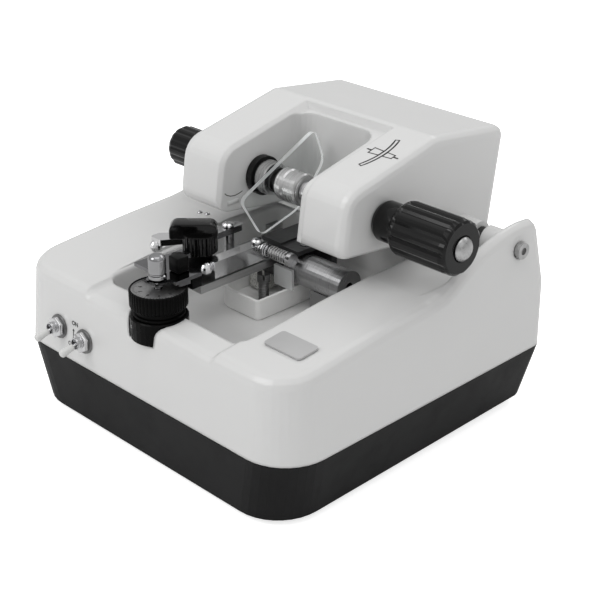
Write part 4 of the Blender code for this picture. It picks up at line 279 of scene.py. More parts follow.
def ease_facets(material, radius):
    """Round the shading over the mesh's small facets on the moulded edges."""
    tree = material.node_tree
    eased = tree.nodes.new("ShaderNodeBevel")
    eased.samples = 4
    eased.inputs["Radius"].default_value = radius
    tree.links.new(eased.outputs["Normal"], tree.nodes["Bump"].inputs["Normal"])


def coat_gloss(material):
    """A thin clear gloss over the moulding."""
    shader = material.node_tree.nodes["Principled BSDF"]
    shader.inputs["Coat Weight"].default_value = 0.2
    shader.inputs["Coat Roughness"].default_value = 0.1


casing_gloss = moulded_plastic(
    "casing_gloss", (0.715, 0.715, 0.71), (0.725, 0.725, 0.72), 0.24, 220.0, 0.000006, 0.04, 0.5, 0.02
)
coat_gloss(casing_gloss)
ease_facets(casing_gloss, 0.0018)
dress("upper_casing", casing_gloss)


# Skirt below the seam: black moulding with a fine eroded texture that scatters the light.
# It carries the casing on its lip and stands just clear of the table.
skirt_texture = moulded_plastic(
    "skirt_texture", (0.009, 0.009, 0.0093), (0.013, 0.013, 0.0134), 0.42, 2600.0, 0.00004, 0.02, 0.12
)
dress("base_skirt", skirt_texture)


# Bottom cover: grey coated sheet steel that closes the machine from below.
# The plate under the head and the motor's saddle have the same fine hammered coat.
def coated_steel(name, low, high, rough):
    made, tree, shader, place = blank_material(name)
    texture = use_group(tree, mould_grain, place, Grain_Scale=700.0, Drift_Scale=40.0)
    dust = use_group(tree, fine_dust, place)
    colour = blend_colours(tree, texture.outputs["Drift"], low, high)
    tree.links.new(colour, shader.inputs["Base Color"])
    tree.links.new(span(tree, dust.outputs["Haze"], rough, rough + 0.15), shader.inputs["Roughness"])
    raise_surface(tree, shader, texture.outputs["Grain"], 0.00006)
    return made


cover_coat = coated_steel("cover_coat", (0.2, 0.2, 0.21), (0.28, 0.28, 0.29), 0.5)
dress("bottom_cover", cover_coat)
dress("hood_underplate", coated_steel("head_plate_coat", (0.22, 0.22, 0.23), (0.3, 0.3, 0.31), 0.45))
dress("motor_saddle", coated_steel("saddle_coat", (0.12, 0.12, 0.12), (0.18, 0.18, 0.18), 0.45))


# Rubber: four feet below, the two pads that grip the lens and the belt in the head.
# Moulded black rubber, matt, with a slow drift towards grey.
def soft_rubber(name, low, high):
    made, tree, shader, place = blank_material(name)
    texture = use_group(tree, mould_grain, place, Grain_Scale=3500.0, Drift_Scale=180.0)
    colour = blend_colours(tree, texture.outputs["Drift"], low, high)
    tree.links.new(colour, shader.inputs["Base Color"])
    tree.links.new(span(tree, texture.outputs["Drift"], 0.68, 0.85), shader.inputs["Roughness"])
    raise_surface(tree, shader, texture.outputs["Grain"], 0.00005)
    return made


foot_rubber = soft_rubber("foot_rubber", (0.02, 0.02, 0.02), (0.045, 0.045, 0.044))
for corner in ("front_left", "front_right", "back_left", "back_right"):
    dress("foot_" + corner, foot_rubber)
pad_rubber = soft_rubber("pad_rubber", (0.015, 0.015, 0.015), (0.03, 0.03, 0.03))
dress("left_pad", pad_rubber)
dress("right_pad", pad_rubber)
dress("lens_belt", soft_rubber("belt_rubber", (0.018, 0.018, 0.018), (0.04, 0.04, 0.04)))


# Label plate on the right land: a thin grey printed plate, left bare.
# It is glued down flat and follows the slope of the land.
label_face = moulded_plastic(
    "label_face", (0.42, 0.42, 0.42), (0.5, 0.5, 0.5), 0.38, 1200.0, 0.000008, 0.05
)
dress("label_plate", label_face)


# Power inlet at the back and the circuit board inside: black barrel, green board with parts.
# The board shows a solder mask with faint tracks; it stands on posts on the bottom cover.
inlet_plastic = moulded_plastic(
    "inlet_plastic", (0.014, 0.014, 0.014), (0.022, 0.022, 0.022), 0.32, 2400.0, 0.00001
)
dress("power_inlet", inlet_plastic)
solder_mask, tree, shader, place = blank_material("solder_mask")
tracks = tree.nodes.new("ShaderNodeTexBrick")
tracks.inputs["Scale"].default_value = 160.0
tracks.inputs["Mortar Size"].default_value = 0.03
tracks.inputs["Color1"].default_value = (0.01, 0.09, 0.035, 1)
tracks.inputs["Color2"].default_value = (0.015, 0.12, 0.045, 1)
tracks.inputs["Mortar"].default_value = (0.05, 0.22, 0.09, 1)
tree.links.new(place, tracks.inputs["Vector"])
tree.links.new(tracks.outputs["Color"], shader.inputs["Base Color"])
texture = use_group(tree, mould_grain, place, Grain_Scale=900.0)
tree.links.new(span(tree, texture.outputs["Drift"], 0.3, 0.5), shader.inputs["Roughness"])
raise_surface(tree, shader, tracks.outputs["Fac"], 0.00003)
dress("circuit_board", solder_mask)


# Toggle switches: chromed bushing with a thread, hexagon nut and dark flat washer.
# Each is pushed through the front wall from inside and held by its nut.
def spin_profile(work, profile, place, steps=40):
    """Turn a profile of (radius, height) round +Z, then put it in place."""
    before = set(work.verts)
    spots = [work.verts.new((radius, 0, along)) for radius, along in profile]
    edges = [work.edges.new(pair) for pair in zip(spots, spots[1:])]
    bmesh.ops.spin(
        work, geom=spots + edges, cent=(0, 0, 0), axis=(0, 0, 1), angle=2 * math.pi, steps=steps, use_merge=True
    )
    fresh = [vertex for vertex in work.verts if vertex not in before]
    bmesh.ops.remove_doubles(work, verts=fresh, dist=0.000001)
    fresh = [vertex for vertex in work.verts if vertex not in before]
    bmesh.ops.transform(work, matrix=place, verts=fresh)
    return fresh


def raise_faces(work, tall):
    """Make flat faces a solid of that height; gives the upper vertices."""
    grown = bmesh.ops.extrude_face_region(work, geom=work.faces[:])["geom"]
    top = [part for part in grown if isinstance(part, bmesh.types.BMVert)]
    bmesh.ops.translate(work, verts=top, vec=(0, 0, tall))
    return top


def round_edges(work, edges, offset, segments):
    bmesh.ops.bevel(
        work, geom=edges, offset=offset, affect="EDGES", segments=segments, profile=0.5, material=-1
    )


def add_block(work, size, centre):
    """A box of that size round the centre; gives its vertices."""
    block = bmesh.ops.create_cube(work, size=1)["verts"]
    bmesh.ops.scale(work, verts=block, vec=size)
    bmesh.ops.translate(work, verts=block, vec=centre)
    return block


def brushed_metal(name, low, high, rough, stretch, depth=0.00001):
    """Metal with fine lines. stretch scales x, y, z: lines run where it is small."""
    made, tree, shader, place = blank_material(name)
    shader.inputs["Metallic"].default_value = 1.0
    turn = tree.nodes.new("ShaderNodeMapping")
    turn.inputs["Scale"].default_value = stretch
    tree.links.new(place, turn.inputs["Vector"])
    lines = tree.nodes.new("ShaderNodeTexNoise")
    lines.inputs["Scale"].default_value = 1.0
    lines.inputs["Detail"].default_value = 4.0
    tree.links.new(turn.outputs["Vector"], lines.inputs["Vector"])
    dust = use_group(tree, fine_dust, place, Speck_Scale=1400.0)
    even = span(tree, lines.outputs["Fac"], 0, 1, 0.3, 0.7)
    tree.links.new(blend_colours(tree, even, low, high), shader.inputs["Base Color"])
    worn = tree.nodes.new("ShaderNodeMath")
    worn.operation = "MULTIPLY_ADD"
    tree.links.new(dust.outputs["Haze"], worn.inputs[0])
    worn.inputs[1].default_value = 0.1
    tree.links.new(span(tree, lines.outputs["Fac"], rough, rough + 0.14, 0.3, 0.7), worn.inputs[2])
    tree.links.new(worn.outputs[0], shader.inputs["Roughness"])
    raise_surface(tree, shader, lines.outputs["Fac"], depth)
    return made


def to_piece(work, name, body, material, sharp=35):
    """Turn a bmesh into a finished piece that rides on a body."""
    bmesh.ops.recalc_face_normals(work, faces=work.faces)
    mesh = bpy.data.meshes.new(name)
    work.to_mesh(mesh)
    work.free()
    mesh.shade_smooth()
    mesh.set_sharp_from_angle(angle=math.radians(sharp))
    mesh.materials.append(material)
    piece = bpy.data.objects.new(name, mesh)
    bpy.context.scene.collection.objects.link(piece)
    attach(piece, body)
    return piece


def polished_chrome(name, rough=0.05, tone=0.62):
    made, tree, shader, place = blank_material(name)
    shader.inputs["Metallic"].default_value = 1.0
    dust = use_group(tree, fine_dust, place, Speck_Scale=1800.0)
    texture = use_group(tree, mould_grain, place, Grain_Scale=900.0, Drift_Scale=120.0)
    low = (tone, tone, tone * 1.01)
    high = (tone + 0.1, tone + 0.1, tone + 0.11)
    colour = blend_colours(tree, texture.outputs["Drift"], low, high)
    tree.links.new(colour, shader.inputs["Base Color"])
    tree.links.new(span(tree, dust.outputs["Haze"], rough, rough + 0.1), shader.inputs["Roughness"])
    raise_surface(tree, shader, texture.outputs["Grain"], 0.000003)
    return made


switch_chrome = polished_chrome("switch_chrome", 0.1)
washer_steel = brushed_metal(
    "washer_steel", (0.16, 0.16, 0.16), (0.26, 0.26, 0.26), 0.35, (900, 900, 900)
)
wall_lean = math.radians(5.3)
lever_drop = math.radians(18)
thread_end = 0.0051
thread_step = 0.00036
nut_radius = 0.0047
nut_tall = 0.0021
wall_foot = -0.0785
wall_seam = 0.025


def wall_y(z):
    """Where the leaning front wall stands at that height."""
    return wall_foot + (z - wall_seam) * math.tan(wall_lean)


switch_places = {
    "left": Vector((-0.0535, wall_y(0.038), 0.038)),
    "right": Vector((-0.0357, wall_y(0.0372), 0.0372)),
}
for side, spot in switch_places.items():
    out_of_wall = Matrix.Translation(spot) @ Matrix.Rotation(math.pi / 2 - wall_lean, 4, "X")
    work = bmesh.new()
    thread = []
    turn_height = 0.0033
    while turn_height < thread_end:
        thread += [(0.0027, turn_height), (0.0024, turn_height + thread_step / 2)]
        turn_height += thread_step
    body_profile = [(0, -0.0083), (0.0027, -0.0083), (0.0027, 0.0033), *thread, (0.0026, 0.0054)]
    body_profile += [(0.0022, 0.0054), (0.0021, 0.005), (0.0021, 0.002), (0, 0.002)]
    spin_profile(work, body_profile, out_of_wall)
    case = add_block(work, (0.008, 0.013, 0.01), (0, 0, -0.0085))
    bmesh.ops.transform(work, matrix=out_of_wall, verts=case)
    switch = to_piece(work, "switch_bushing_" + side, "machine", switch_chrome)
    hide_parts("toggle_switch_" + side)
    work = bmesh.new()
    bmesh.ops.create_circle(work, cap_ends=True, segments=6, radius=nut_radius)
    raise_faces(work, nut_tall)
    round_edges(work, work.edges[:], 0.00035, 2)
    on_washer = out_of_wall @ Matrix.Translation((0, 0, 0.00092))
    bmesh.ops.transform(work, matrix=on_washer, verts=work.verts)
    to_piece(work, "switch_nut_" + side, "machine", switch_chrome)
    work = bmesh.new()
    ring = [(0.0028, 0.0001), (0.0052, 0.0001), (0.00535, 0.0003)]
    ring += [(0.0052, 0.0009), (0.0028, 0.0009), (0.0028, 0.0001)]
    spin_profile(work, ring, out_of_wall)
    to_piece(work, "switch_washer_" + side, "machine", washer_steel)


# Two small round-headed screws on the left land, beside the hood's left arm.
# Chromed; what they hold under the moulding can't be seen.
work = bmesh.new()
for x, y in ((-0.0547, 0.0042), (-0.0507, 0.0052)):
    dome = [(0, 0)]
    for step in range(7):
        turn = math.radians(90 * step / 6)
        dome.append((0.0013 * math.cos(turn), 0.0001 + 0.0011 * math.sin(turn)))
    dome[-1] = (0, 0.0012)
    spin_profile(work, dome, Matrix.Translation((x, y, 0.0663)), 24)
to_piece(work, "land_screws", "machine", polished_chrome("land_screw_chrome", 0.08, 0.5), 50)


# Levers: a thin chromed stalk in a white plastic sleeve that widens to a round tip.
# Each tips up and down in its bushing and points a little downward at rest.
sleeve_plastic = moulded_plastic(
    "sleeve_plastic", (0.7, 0.7, 0.69), (0.76, 0.76, 0.75), 0.28, 2500.0, 0.000006
)
for side, spot in switch_places.items():
    out_of_wall = Matrix.Translation(spot) @ Matrix.Rotation(math.pi / 2 - wall_lean, 4, "X")
    lean = out_of_wall @ Matrix.Translation((0, 0, 0.0033)) @ Matrix.Rotation(lever_drop, 4, "X")
    work = bmesh.new()
    stalk = [(0, -0.0008), (0.0009, -0.0003), (0.0009, 0.0003)]
    stalk += [(0.00075, 0.0008), (0.00085, 0.0034), (0, 0.0034)]
    spin_profile(work, stalk, lean, 24)
    to_piece(work, "lever_stalk_" + side, "toggle_" + side, switch_chrome)
    work = bmesh.new()
    sleeve = [(0, 0.003), (0.0012, 0.003), (0.00142, 0.0033), (0.0015, 0.0052), (0.00168, 0.0078)]
    sleeve += [(0.00172, 0.0085), (0.0016, 0.0091), (0.0012, 0.0095), (0.0006, 0.0097), (0, 0.0098)]
    spin_profile(work, sleeve, lean, 32)
    lever = to_piece(
        work, "lever_sleeve_" + side, "toggle_" + side, sleeve_plastic, 60
    )
    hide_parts("toggle_lever_" + side)


# ON and OFF marks with a two-headed arrow, printed in black on the wall between the switches.
# Ordinary switch marks; no other wording is carried over.
ink_black = moulded_plastic(
    "ink_black", (0.006, 0.006, 0.006), (0.012, 0.012, 0.012), 0.5, 4000.0, 0.000004, 0.0, 0.3
)


def draw_line(work, points, width, height=0.00004, closed=False):
    """Lay a flat line of ink along points: a thin curve, pressed flat, joined to the bmesh."""
    curve = bpy.data.curves.new("ink", "CURVE")
    curve.dimensions = "3D"
    curve.bevel_depth = width / 2
    curve.bevel_resolution = 1
    curve.use_fill_caps = True
    run = curve.splines.new("POLY")
    run.points.add(len(points) - 1)
    for spot, (x, y) in zip(run.points, points):
        spot.co = (x, y, 0, 1)
    run.use_cyclic_u = closed
    pen = bpy.data.objects.new("ink", curve)
    bpy.context.scene.collection.objects.link(pen)
    mesh = bpy.data.meshes.new_from_object(pen.evaluated_get(bpy.context.evaluated_depsgraph_get()))
    before = set(work.verts)
    work.from_mesh(mesh)
    fresh = [vertex for vertex in work.verts if vertex not in before]
    bmesh.ops.scale(work, verts=fresh, vec=(1, 1, height / width))
    bpy.data.objects.remove(pen)
    bpy.data.curves.remove(curve)
    return fresh


def write_words(work, words, size, place, height=0.00004):
    """Generic marking, made a mesh and joined to the bmesh in its own plane."""
    text = bpy.data.curves.new("words", "FONT")
    text.body = words
    text.size = size
    text.align_x = "CENTER"
    text.align_y = "CENTER"
    text.extrude = height / 2
    text.offset = size * 0.03
    text.resolution_u = 3
    pen = bpy.data.objects.new("words", text)
    bpy.context.scene.collection.objects.link(pen)
    mesh = bpy.data.meshes.new_from_object(pen.evaluated_get(bpy.context.evaluated_depsgraph_get()))
    before = set(work.verts)
    work.from_mesh(mesh)
    fresh = [vertex for vertex in work.verts if vertex not in before]
    bmesh.ops.transform(work, matrix=place, verts=fresh)
    bpy.data.objects.remove(pen)
    bpy.data.curves.remove(text)
    return fresh


def on_front_wall(x, z):
    spot = Vector((x, wall_y(z) - 0.00003, z))
    return Matrix.Translation(spot) @ Matrix.Rotation(math.pi / 2 - wall_lean, 4, "X")


work = bmesh.new()
write_words(work, "ON", 0.0027, on_front_wall(-0.0427, 0.0426))
write_words(work, "OFF", 0.0025, on_front_wall(-0.0452, 0.0325))
for points in (
    [(0, -0.0024), (0, 0.0024)],
    [(-0.0005, 0.0017), (0, 0.0025), (0.0005, 0.0017)],
    [(-0.0005, -0.0017), (0, -0.0025), (0.0005, -0.0017)],
):
    stroke = draw_line(work, points, 0.0006)
    bmesh.ops.transform(work, matrix=on_front_wall(-0.0437, 0.0374), verts=stroke)
to_piece(work, "switch_marks", "machine", ink_black)


# Depth dial: a black ribbed knob on a fixed collar, with a satin scale plate let into its top.
# The scale is marked in black: ten long marks with figures and short marks between them.
dial_plastic = moulded_plastic(
    "dial_plastic", (0.002, 0.002, 0.002), (0.003, 0.003, 0.003), 0.3, 1800.0, 0.000012, 0.02, 0.06
)


def foot_of(low, high):
    """The middle of a box's underside."""
    return Matrix.Translation(((low.x + high.x) / 2, (low.y + high.y) / 2, low.z))


low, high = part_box("depth_dial")
dial_spot = foot_of(low, high)
dial_tall = high.z - low.z
ring_low = 0.0036
work = bmesh.new()
neck = [(0.0035, 0), (0.0106, 0), (0.0106, 0.001), (0.0098, 0.0013), (0.0098, ring_low - 0.0009)]
neck += [(0.0109, ring_low - 0.0003), (0.0109, ring_low + 0.002), (0.0035, ring_low + 0.002), (0.0035, 0)]
spin_profile(work, neck, dial_spot, 96)
flutes = 48
steps_round = flutes * 6
flute_depth = 0.00034
grip_radius = 0.0119
bore_radius = 0.0036
levels = (
    (ring_low, 0.0005),
    (ring_low + 0.0005, 0),
    (dial_tall - 0.0006, 0),
    (dial_tall - 0.0001, 0.0004),
    (dial_tall, 0.0008),
    (dial_tall - 0.0006, 0.0009),
)
rings = []
for level, inset in levels:
    ring = []
    for step in range(steps_round):
        turn = 2 * math.pi * step / steps_round
        groove = flute_depth * max(math.cos(flutes * turn), 0) ** 2 if inset < 0.0006 else 0
        radius = grip_radius - inset - groove
        ring.append(work.verts.new((radius * math.cos(turn), radius * math.sin(turn), level)))
    rings.append(ring)
for below, above in zip(rings, rings[1:]):
    for step in range(len(below)):
        after = (step + 1) % len(below)
        work.faces.new((below[step], below[after], above[after], above[step]))
bore = {}
for name, ring, level in (("low", rings[0], ring_low), ("high", rings[-1], dial_tall - 0.0006)):
    inner = []
    for step in range(steps_round):
        turn = 2 * math.pi * step / steps_round
        x, y = bore_radius * math.cos(turn), bore_radius * math.sin(turn)
        inner.append(work.verts.new((x, y, level)))
    for step in range(len(ring)):
        after = (step + 1) % len(ring)
        work.faces.new((ring[step], ring[after], inner[after], inner[step]))
    bore[name] = inner
for step in range(steps_round):
    after = (step + 1) % steps_round
    work.faces.new((bore["low"][step], bore["low"][after], bore["high"][after], bore["high"][step]))
ring_verts = {vertex for ring in rings for vertex in ring} | set(bore["low"]) | set(bore["high"])
bmesh.ops.transform(work, matrix=dial_spot, verts=list(ring_verts))
dial_grip = to_piece(work, "dial_grip", "dial", dial_plastic, 40)
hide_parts("depth_dial")
collar_plastic = moulded_plastic(
    "collar_plastic", (0.002, 0.002, 0.002), (0.003, 0.003, 0.003), 0.24, 1800.0, 0.000012, 0.02, 0.07
)
dress("dial_collar", collar_plastic)
scale_steel = brushed_metal("scale_steel", (0.3, 0.3, 0.3), (0.4, 0.4, 0.4), 0.3, (900, 900, 900))
dress("dial_face", scale_steel)
low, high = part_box("dial_face")
dial_centre = Vector(((low.x + high.x) / 2, (low.y + high.y) / 2, high.z + 0.00002))
work = bmesh.new()
marks = 50
mark_end = 0.0104
for step in range(marks):
    turn = 2 * math.pi * step / marks
    mark_start = 0.0086 if step % 5 == 0 else 0.0095
    points = [(reach * math.cos(turn), reach * math.sin(turn)) for reach in (mark_start, mark_end)]
    draw_line(work, points, 0.00022)
for figure in range(10):
    turn = 2 * math.pi * figure / 10
    face = Matrix.Rotation(turn, 4, "Z") @ Matrix.Translation((0.0074, 0, 0))
    face @= Matrix.Rotation(-math.pi / 2, 4, "Z")
    write_words(work, str(figure), 0.0021, face)
bmesh.ops.translate(work, verts=work.verts, vec=dial_centre)
to_piece(work, "dial_scale", "dial", ink_black)
work = bmesh.new()
set_screw = [(0, 0), (0.0009, 0), (0.0009, 0.00018), (0.0005, 0.00018), (0.0004, -0.0001), (0, -0.0001)]
heading = Vector((-0.32, -0.95, 0)).normalized()
spot = Vector((dial_centre.x, dial_centre.y, 0.0565)) + heading * 0.01195
facing_out = heading.to_track_quat("Z", "Y").to_matrix().to_4x4()
spin_profile(work, set_screw, Matrix.Translation(spot) @ facing_out, 20)
to_piece(work, "collar_set_screw", "machine", polished_chrome("screw_chrome", 0.12, 0.4))


# Post and front plate: a chromed nut on a stem lifts the chromed plate as the dial turns.
# The plate lies under the post's head and carries the front of the guide carriage.
# The post's chrome has a low tone: painted shade for the dark reflections it shows.
post_chrome_painted_shade = polished_chrome("post_chrome_painted_shade", 0.03, 0.28)
low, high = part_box("depth_post")
post_tall = high.z - low.z
post_spot = foot_of(low, high)
head_low = post_tall - 0.0103
profile = [(0, 0), (0.0012, 0), (0.0015, 0.0003), (0.0015, head_low - 0.0035), (0.0025, head_low - 0.0034)]
profile += [(0.0029, head_low - 0.003), (0.0029, head_low - 0.0026), (0.0025, head_low - 0.0023)]
profile += [(0.0015, head_low - 0.0023), (0.0015, head_low), (0.0034, head_low), (0.0037, head_low + 0.0002)]
profile += [(0.0037, head_low + 0.0013), (0.0034, head_low + 0.0015), (0.0031, head_low + 0.0017)]
profile += [(0.0031, head_low + 0.0021), (0.0036, head_low + 0.0026)]
for step in range(9):
    turn = math.radians(90 * step / 8)
    profile.append((0.0014 + 0.0022 * math.cos(turn), post_tall - 0.0024 + 0.0022 * math.sin(turn)))
profile += [(0.0009, post_tall - 0.0001), (0, post_tall)]
work = bmesh.new()
spin_profile(work, profile, post_spot, 64)
post_cap = to_piece(work, "post_head", "post", post_chrome_painted_shade, 40)
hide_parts("depth_post")
# The plate's chrome is darker still: painted shade for the dark reflections on its face.
plate_chrome_painted_shade = polished_chrome("plate_chrome_painted_shade", 0.05, 0.14)
dress("front_plate", plate_chrome_painted_shade)


# Guide carriage: milled grey bars round the wheel, pivoting on a lug at the back left.
# The top is milled flat; the lug is plain steel and stands on the tray's floor.
bar_alloy = brushed_metal(
    "bar_alloy", (0.42, 0.42, 0.42), (0.52, 0.52, 0.52), 0.3, (1500, 50, 1500)
)
dress("guide_base", bar_alloy)
lug_steel = brushed_metal(
    "lug_steel", (0.35, 0.35, 0.35), (0.46, 0.46, 0.46), 0.28, (60, 60, 1800)
)
dress("carriage_pivot", lug_steel)


# Stop screw under the edge of the right bar: a slotted cheese head on a threaded shank.
# Dull turned steel; it stands on the cup's floor, below the carriage.
adjuster_steel = brushed_metal(
    "adjuster_steel", (0.14, 0.14, 0.14), (0.26, 0.26, 0.26), 0.3, (300, 300, 3000)
)
low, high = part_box("adjust_screw")
screw_spot = foot_of(low, high)
head_top = high.z - low.z
shank_end = head_top - 0.0036
thread_step = 0.0007
head_radius = 0.00283
slot_floor = shank_end + 0.0012
shank = [(0, 0), (0.0018, 0), (0.0021, 0.0004)]
turn_height = 0.0006
while turn_height < shank_end - 0.0008:
    shank += [(0.0023, turn_height), (0.0021, turn_height + thread_step / 2)]
    turn_height += thread_step
shank += [(0.0022, shank_end), (0, shank_end)]
work = bmesh.new()
spin_profile(work, shank, screw_spot, 32)
to_piece(work, "stop_screw_shank", "machine", adjuster_steel, 50)
work = bmesh.new()
for side in (-1, 1):
    arc = [math.radians(9 + 162 * step / 16) for step in range(17)]
    ring = [(head_radius * math.cos(turn), side * head_radius * math.sin(turn)) for turn in arc]
    corners = [work.verts.new((x, y, slot_floor)) for x, y in ring]
    work.faces.new(corners)
raise_faces(work, head_top - slot_floor)
slot_turn = Matrix.Rotation(math.radians(-40), 3, "Z")
bmesh.ops.rotate(work, verts=work.verts, cent=(0, 0, 0), matrix=slot_turn)
bmesh.ops.transform(work, matrix=screw_spot, verts=work.verts)
base = [(0, shank_end - 0.0001), (0.0027, shank_end - 0.0001), (head_radius, shank_end)]
base += [(head_radius, slot_floor + 0.0001), (0, slot_floor + 0.0001)]
spin_profile(work, base, screw_spot, 40)
stop_screw = to_piece(work, "stop_screw_head", "machine", adjuster_steel)
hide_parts("adjust_screw")


# Guide arms: two polished bars with ball ends, each on a slotted screw.
# The coil spring beside the right arm closes it; the bolt through it sets its reach.
arm_chrome = polished_chrome("arm_chrome", 0.1, 0.74)
for name in ("right_guide_arm", "left_guide_arm", "right_arm_screw", "left_arm_screw", "tension_bolt"):
    dress(name, arm_chrome)
spring_wire = brushed_metal(
    "spring_wire", (0.42, 0.42, 0.42), (0.6, 0.6, 0.6), 0.16, (3000, 400, 400)
)
dress("guide_spring", spring_wire)


# Selector knob: a ribbed black drum with a broad pointer bar moulded across it.
# The bar's ends are rounded; it turns on the black block below.
knob_plastic = moulded_plastic(
    "knob_plastic", (0.002, 0.002, 0.002), (0.003, 0.003, 0.003), 0.11, 1800.0, 0.000004, 0.02, 0.3, 0.04
)
low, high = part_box("selector_knob")
drum_centre = Vector((-0.011, -0.0331, low.z))
work = bmesh.new()
ribs = 28
drum_radius = 0.0074
drum_tall = 0.0082
rib_depth = 0.00035
bar_wide = 0.0074
bar_tall = 0.0069
bmesh.ops.create_circle(work, cap_ends=True, segments=ribs * 4, radius=drum_radius)
for vertex in work.verts:
    turn = math.atan2(vertex.co.y, vertex.co.x)
    pull = rib_depth * max(math.cos(ribs * turn), 0)
    vertex.co.xy *= 1 - pull / drum_radius
top = raise_faces(work, drum_tall)
rim = [edge for edge in work.edges if all(vertex in top for vertex in edge.verts)]
round_edges(work, rim, 0.0004, 2)
bar = add_block(work, (0.02, bar_wide, bar_tall), (0.0025, 0, 0.00965))
upright = [
    edge
    for edge in {edge for vertex in bar for edge in vertex.link_edges}
    if abs(edge.verts[0].co.y - edge.verts[1].co.y) > 0.005 and edge.verts[0].co.z > 0.01
]
round_edges(work, upright, 0.0034, 8)
side_edges = [
    edge
    for edge in work.edges
    if all(abs(abs(vertex.co.y) - bar_wide / 2) < 0.00001 for vertex in edge.verts)
    and all(vertex.co.z > 0.0025 for vertex in edge.verts)
    and len(edge.link_faces) == 2
    and edge.calc_face_angle(0) > 0.8
]
round_edges(work, side_edges, 0.0006, 3)
turn = Matrix.Translation(drum_centre) @ Matrix.Rotation(math.radians(225), 4, "Z")
bmesh.ops.transform(work, matrix=turn, verts=work.verts)
selector = to_piece(work, "selector_grip", "selector", knob_plastic)
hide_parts("selector_knob")
block_plastic = moulded_plastic(
    "block_plastic", (0.002, 0.002, 0.002), (0.004, 0.004, 0.004), 0.3, 2000.0, 0.00001, 0.02, 0.1
)
dress("selector_block", block_plastic)


# Stop block behind the post: a black block on the front plate, with a foot under the plate.
# Moulded plastic with broken edges; it goes with the carriage.
work = bmesh.new()
for low, high in (
    ((-0.001, -0.0584, 0.0754), (0.005, -0.0525, 0.082)),
    ((0.0005, -0.0532, 0.0676), (0.0072, -0.048, 0.0735)),
):
    low = Vector(low)
    high = Vector(high)
    add_block(work, high - low, (low + high) / 2)
round_edges(work, work.edges[:], 0.0005, 3)
to_piece(work, "stop_block", "carriage", block_plastic)


# Grooving wheel and its drive: a thin bevelled steel disc on an arbor, in a dark bracket.
# A satin motor in a saddle drives it straight; the bracket's plate is held by a chromed screw.
wheel_steel = brushed_metal(
    "wheel_steel", (0.5, 0.5, 0.5), (0.64, 0.64, 0.64), 0.22, (300, 300, 300)
)
dress("grooving_wheel", wheel_steel)
dress("wheel_arbor", polished_chrome("arbor_chrome", 0.1))
bracket_black = coated_steel("bracket_black", (0.05, 0.05, 0.052), (0.08, 0.08, 0.082), 0.28)
bracket_black.node_tree.nodes["Principled BSDF"].inputs["Metallic"].default_value = 0.6
dress("wheel_bracket", bracket_black)
dress("bracket_screw", polished_chrome("bracket_screw_chrome", 0.08, 0.4))
can_metal = brushed_metal(
    "can_metal", (0.34, 0.34, 0.345), (0.44, 0.44, 0.445), 0.24, (3200, 70, 70)
)
dress("wheel_motor", can_metal)
dress("lens_motor", can_metal)


# Water cup: a white pot on the tray's floor, with a foam sponge that ends just below the wheel.
# The splash guard at the front of the wheel's bracket is a thin, half clear plastic plate.
# The cup's white is brighter than the casing's: painted light that lifts the shade falling into the tray.
cup_lit_plastic = moulded_plastic(
    "cup_lit_plastic", (0.9, 0.9, 0.89), (0.94, 0.94, 0.93), 0.3, 900.0, 0.000008, 0.02
)
dress("water_cup", cup_lit_plastic)
guard_plastic = moulded_plastic(
    "guard_plastic", (0.7, 0.71, 0.71), (0.78, 0.79, 0.79), 0.1, 900.0, 0.000006
)
guard_plastic.node_tree.nodes["Principled BSDF"].inputs["Alpha"].default_value = 0.5
dress("splash_guard", guard_plastic)
sponge_foam, tree, shader, place = blank_material("sponge_foam")
pores = tree.nodes.new("ShaderNodeTexVoronoi")
pores.inputs["Scale"].default_value = 1300.0
tree.links.new(place, pores.inputs["Vector"])
# The pores are darker where the bump is low: painted shade in the pits of the foam.
depth = span(tree, pores.outputs["Distance"], 0, 1, 0.15, 0.6)
foam_colour_pore_shade = blend_colours(tree, depth, (0.4, 0.4, 0.38), (0.72, 0.72, 0.69))
tree.links.new(foam_colour_pore_shade, shader.inputs["Base Color"])
shader.inputs["Roughness"].default_value = 0.9
raise_surface(tree, shader, depth, 0.0003)
low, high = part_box("sponge")
sponge_sag = 0.0006
work = bmesh.new()
add_block(work, high - low, (low + high) / 2)
round_edges(work, work.edges[:], 0.0012, 3)
bmesh.ops.subdivide_edges(work, edges=work.edges[:], cuts=4, use_grid_fill=True)
for vertex in work.verts:
    crown = math.sin((vertex.co.x - low.x) / (high.x - low.x) * math.pi)
    if vertex.co.z > high.z - 0.0001:
        vertex.co.z -= sponge_sag * (1 - crown)
foam = to_piece(work, "sponge_block", "machine", sponge_foam, 60)
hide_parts("sponge")


# Head: a glossy white hood, U-shaped in plan, hinged between the ears.
# It has the gloss of the casing; its white is a shade lighter, painted light for the stronger light that falls
# on the head.
head_lit_gloss = moulded_plastic(
    "head_lit_gloss", (0.735, 0.735, 0.73), (0.745, 0.745, 0.74), 0.2, 220.0, 0.000006, 0.04, 0.5, 0.02
)
coat_gloss(head_lit_gloss)
ease_facets(head_lit_gloss, 0.0015)
dress("hood_shell", head_lit_gloss)


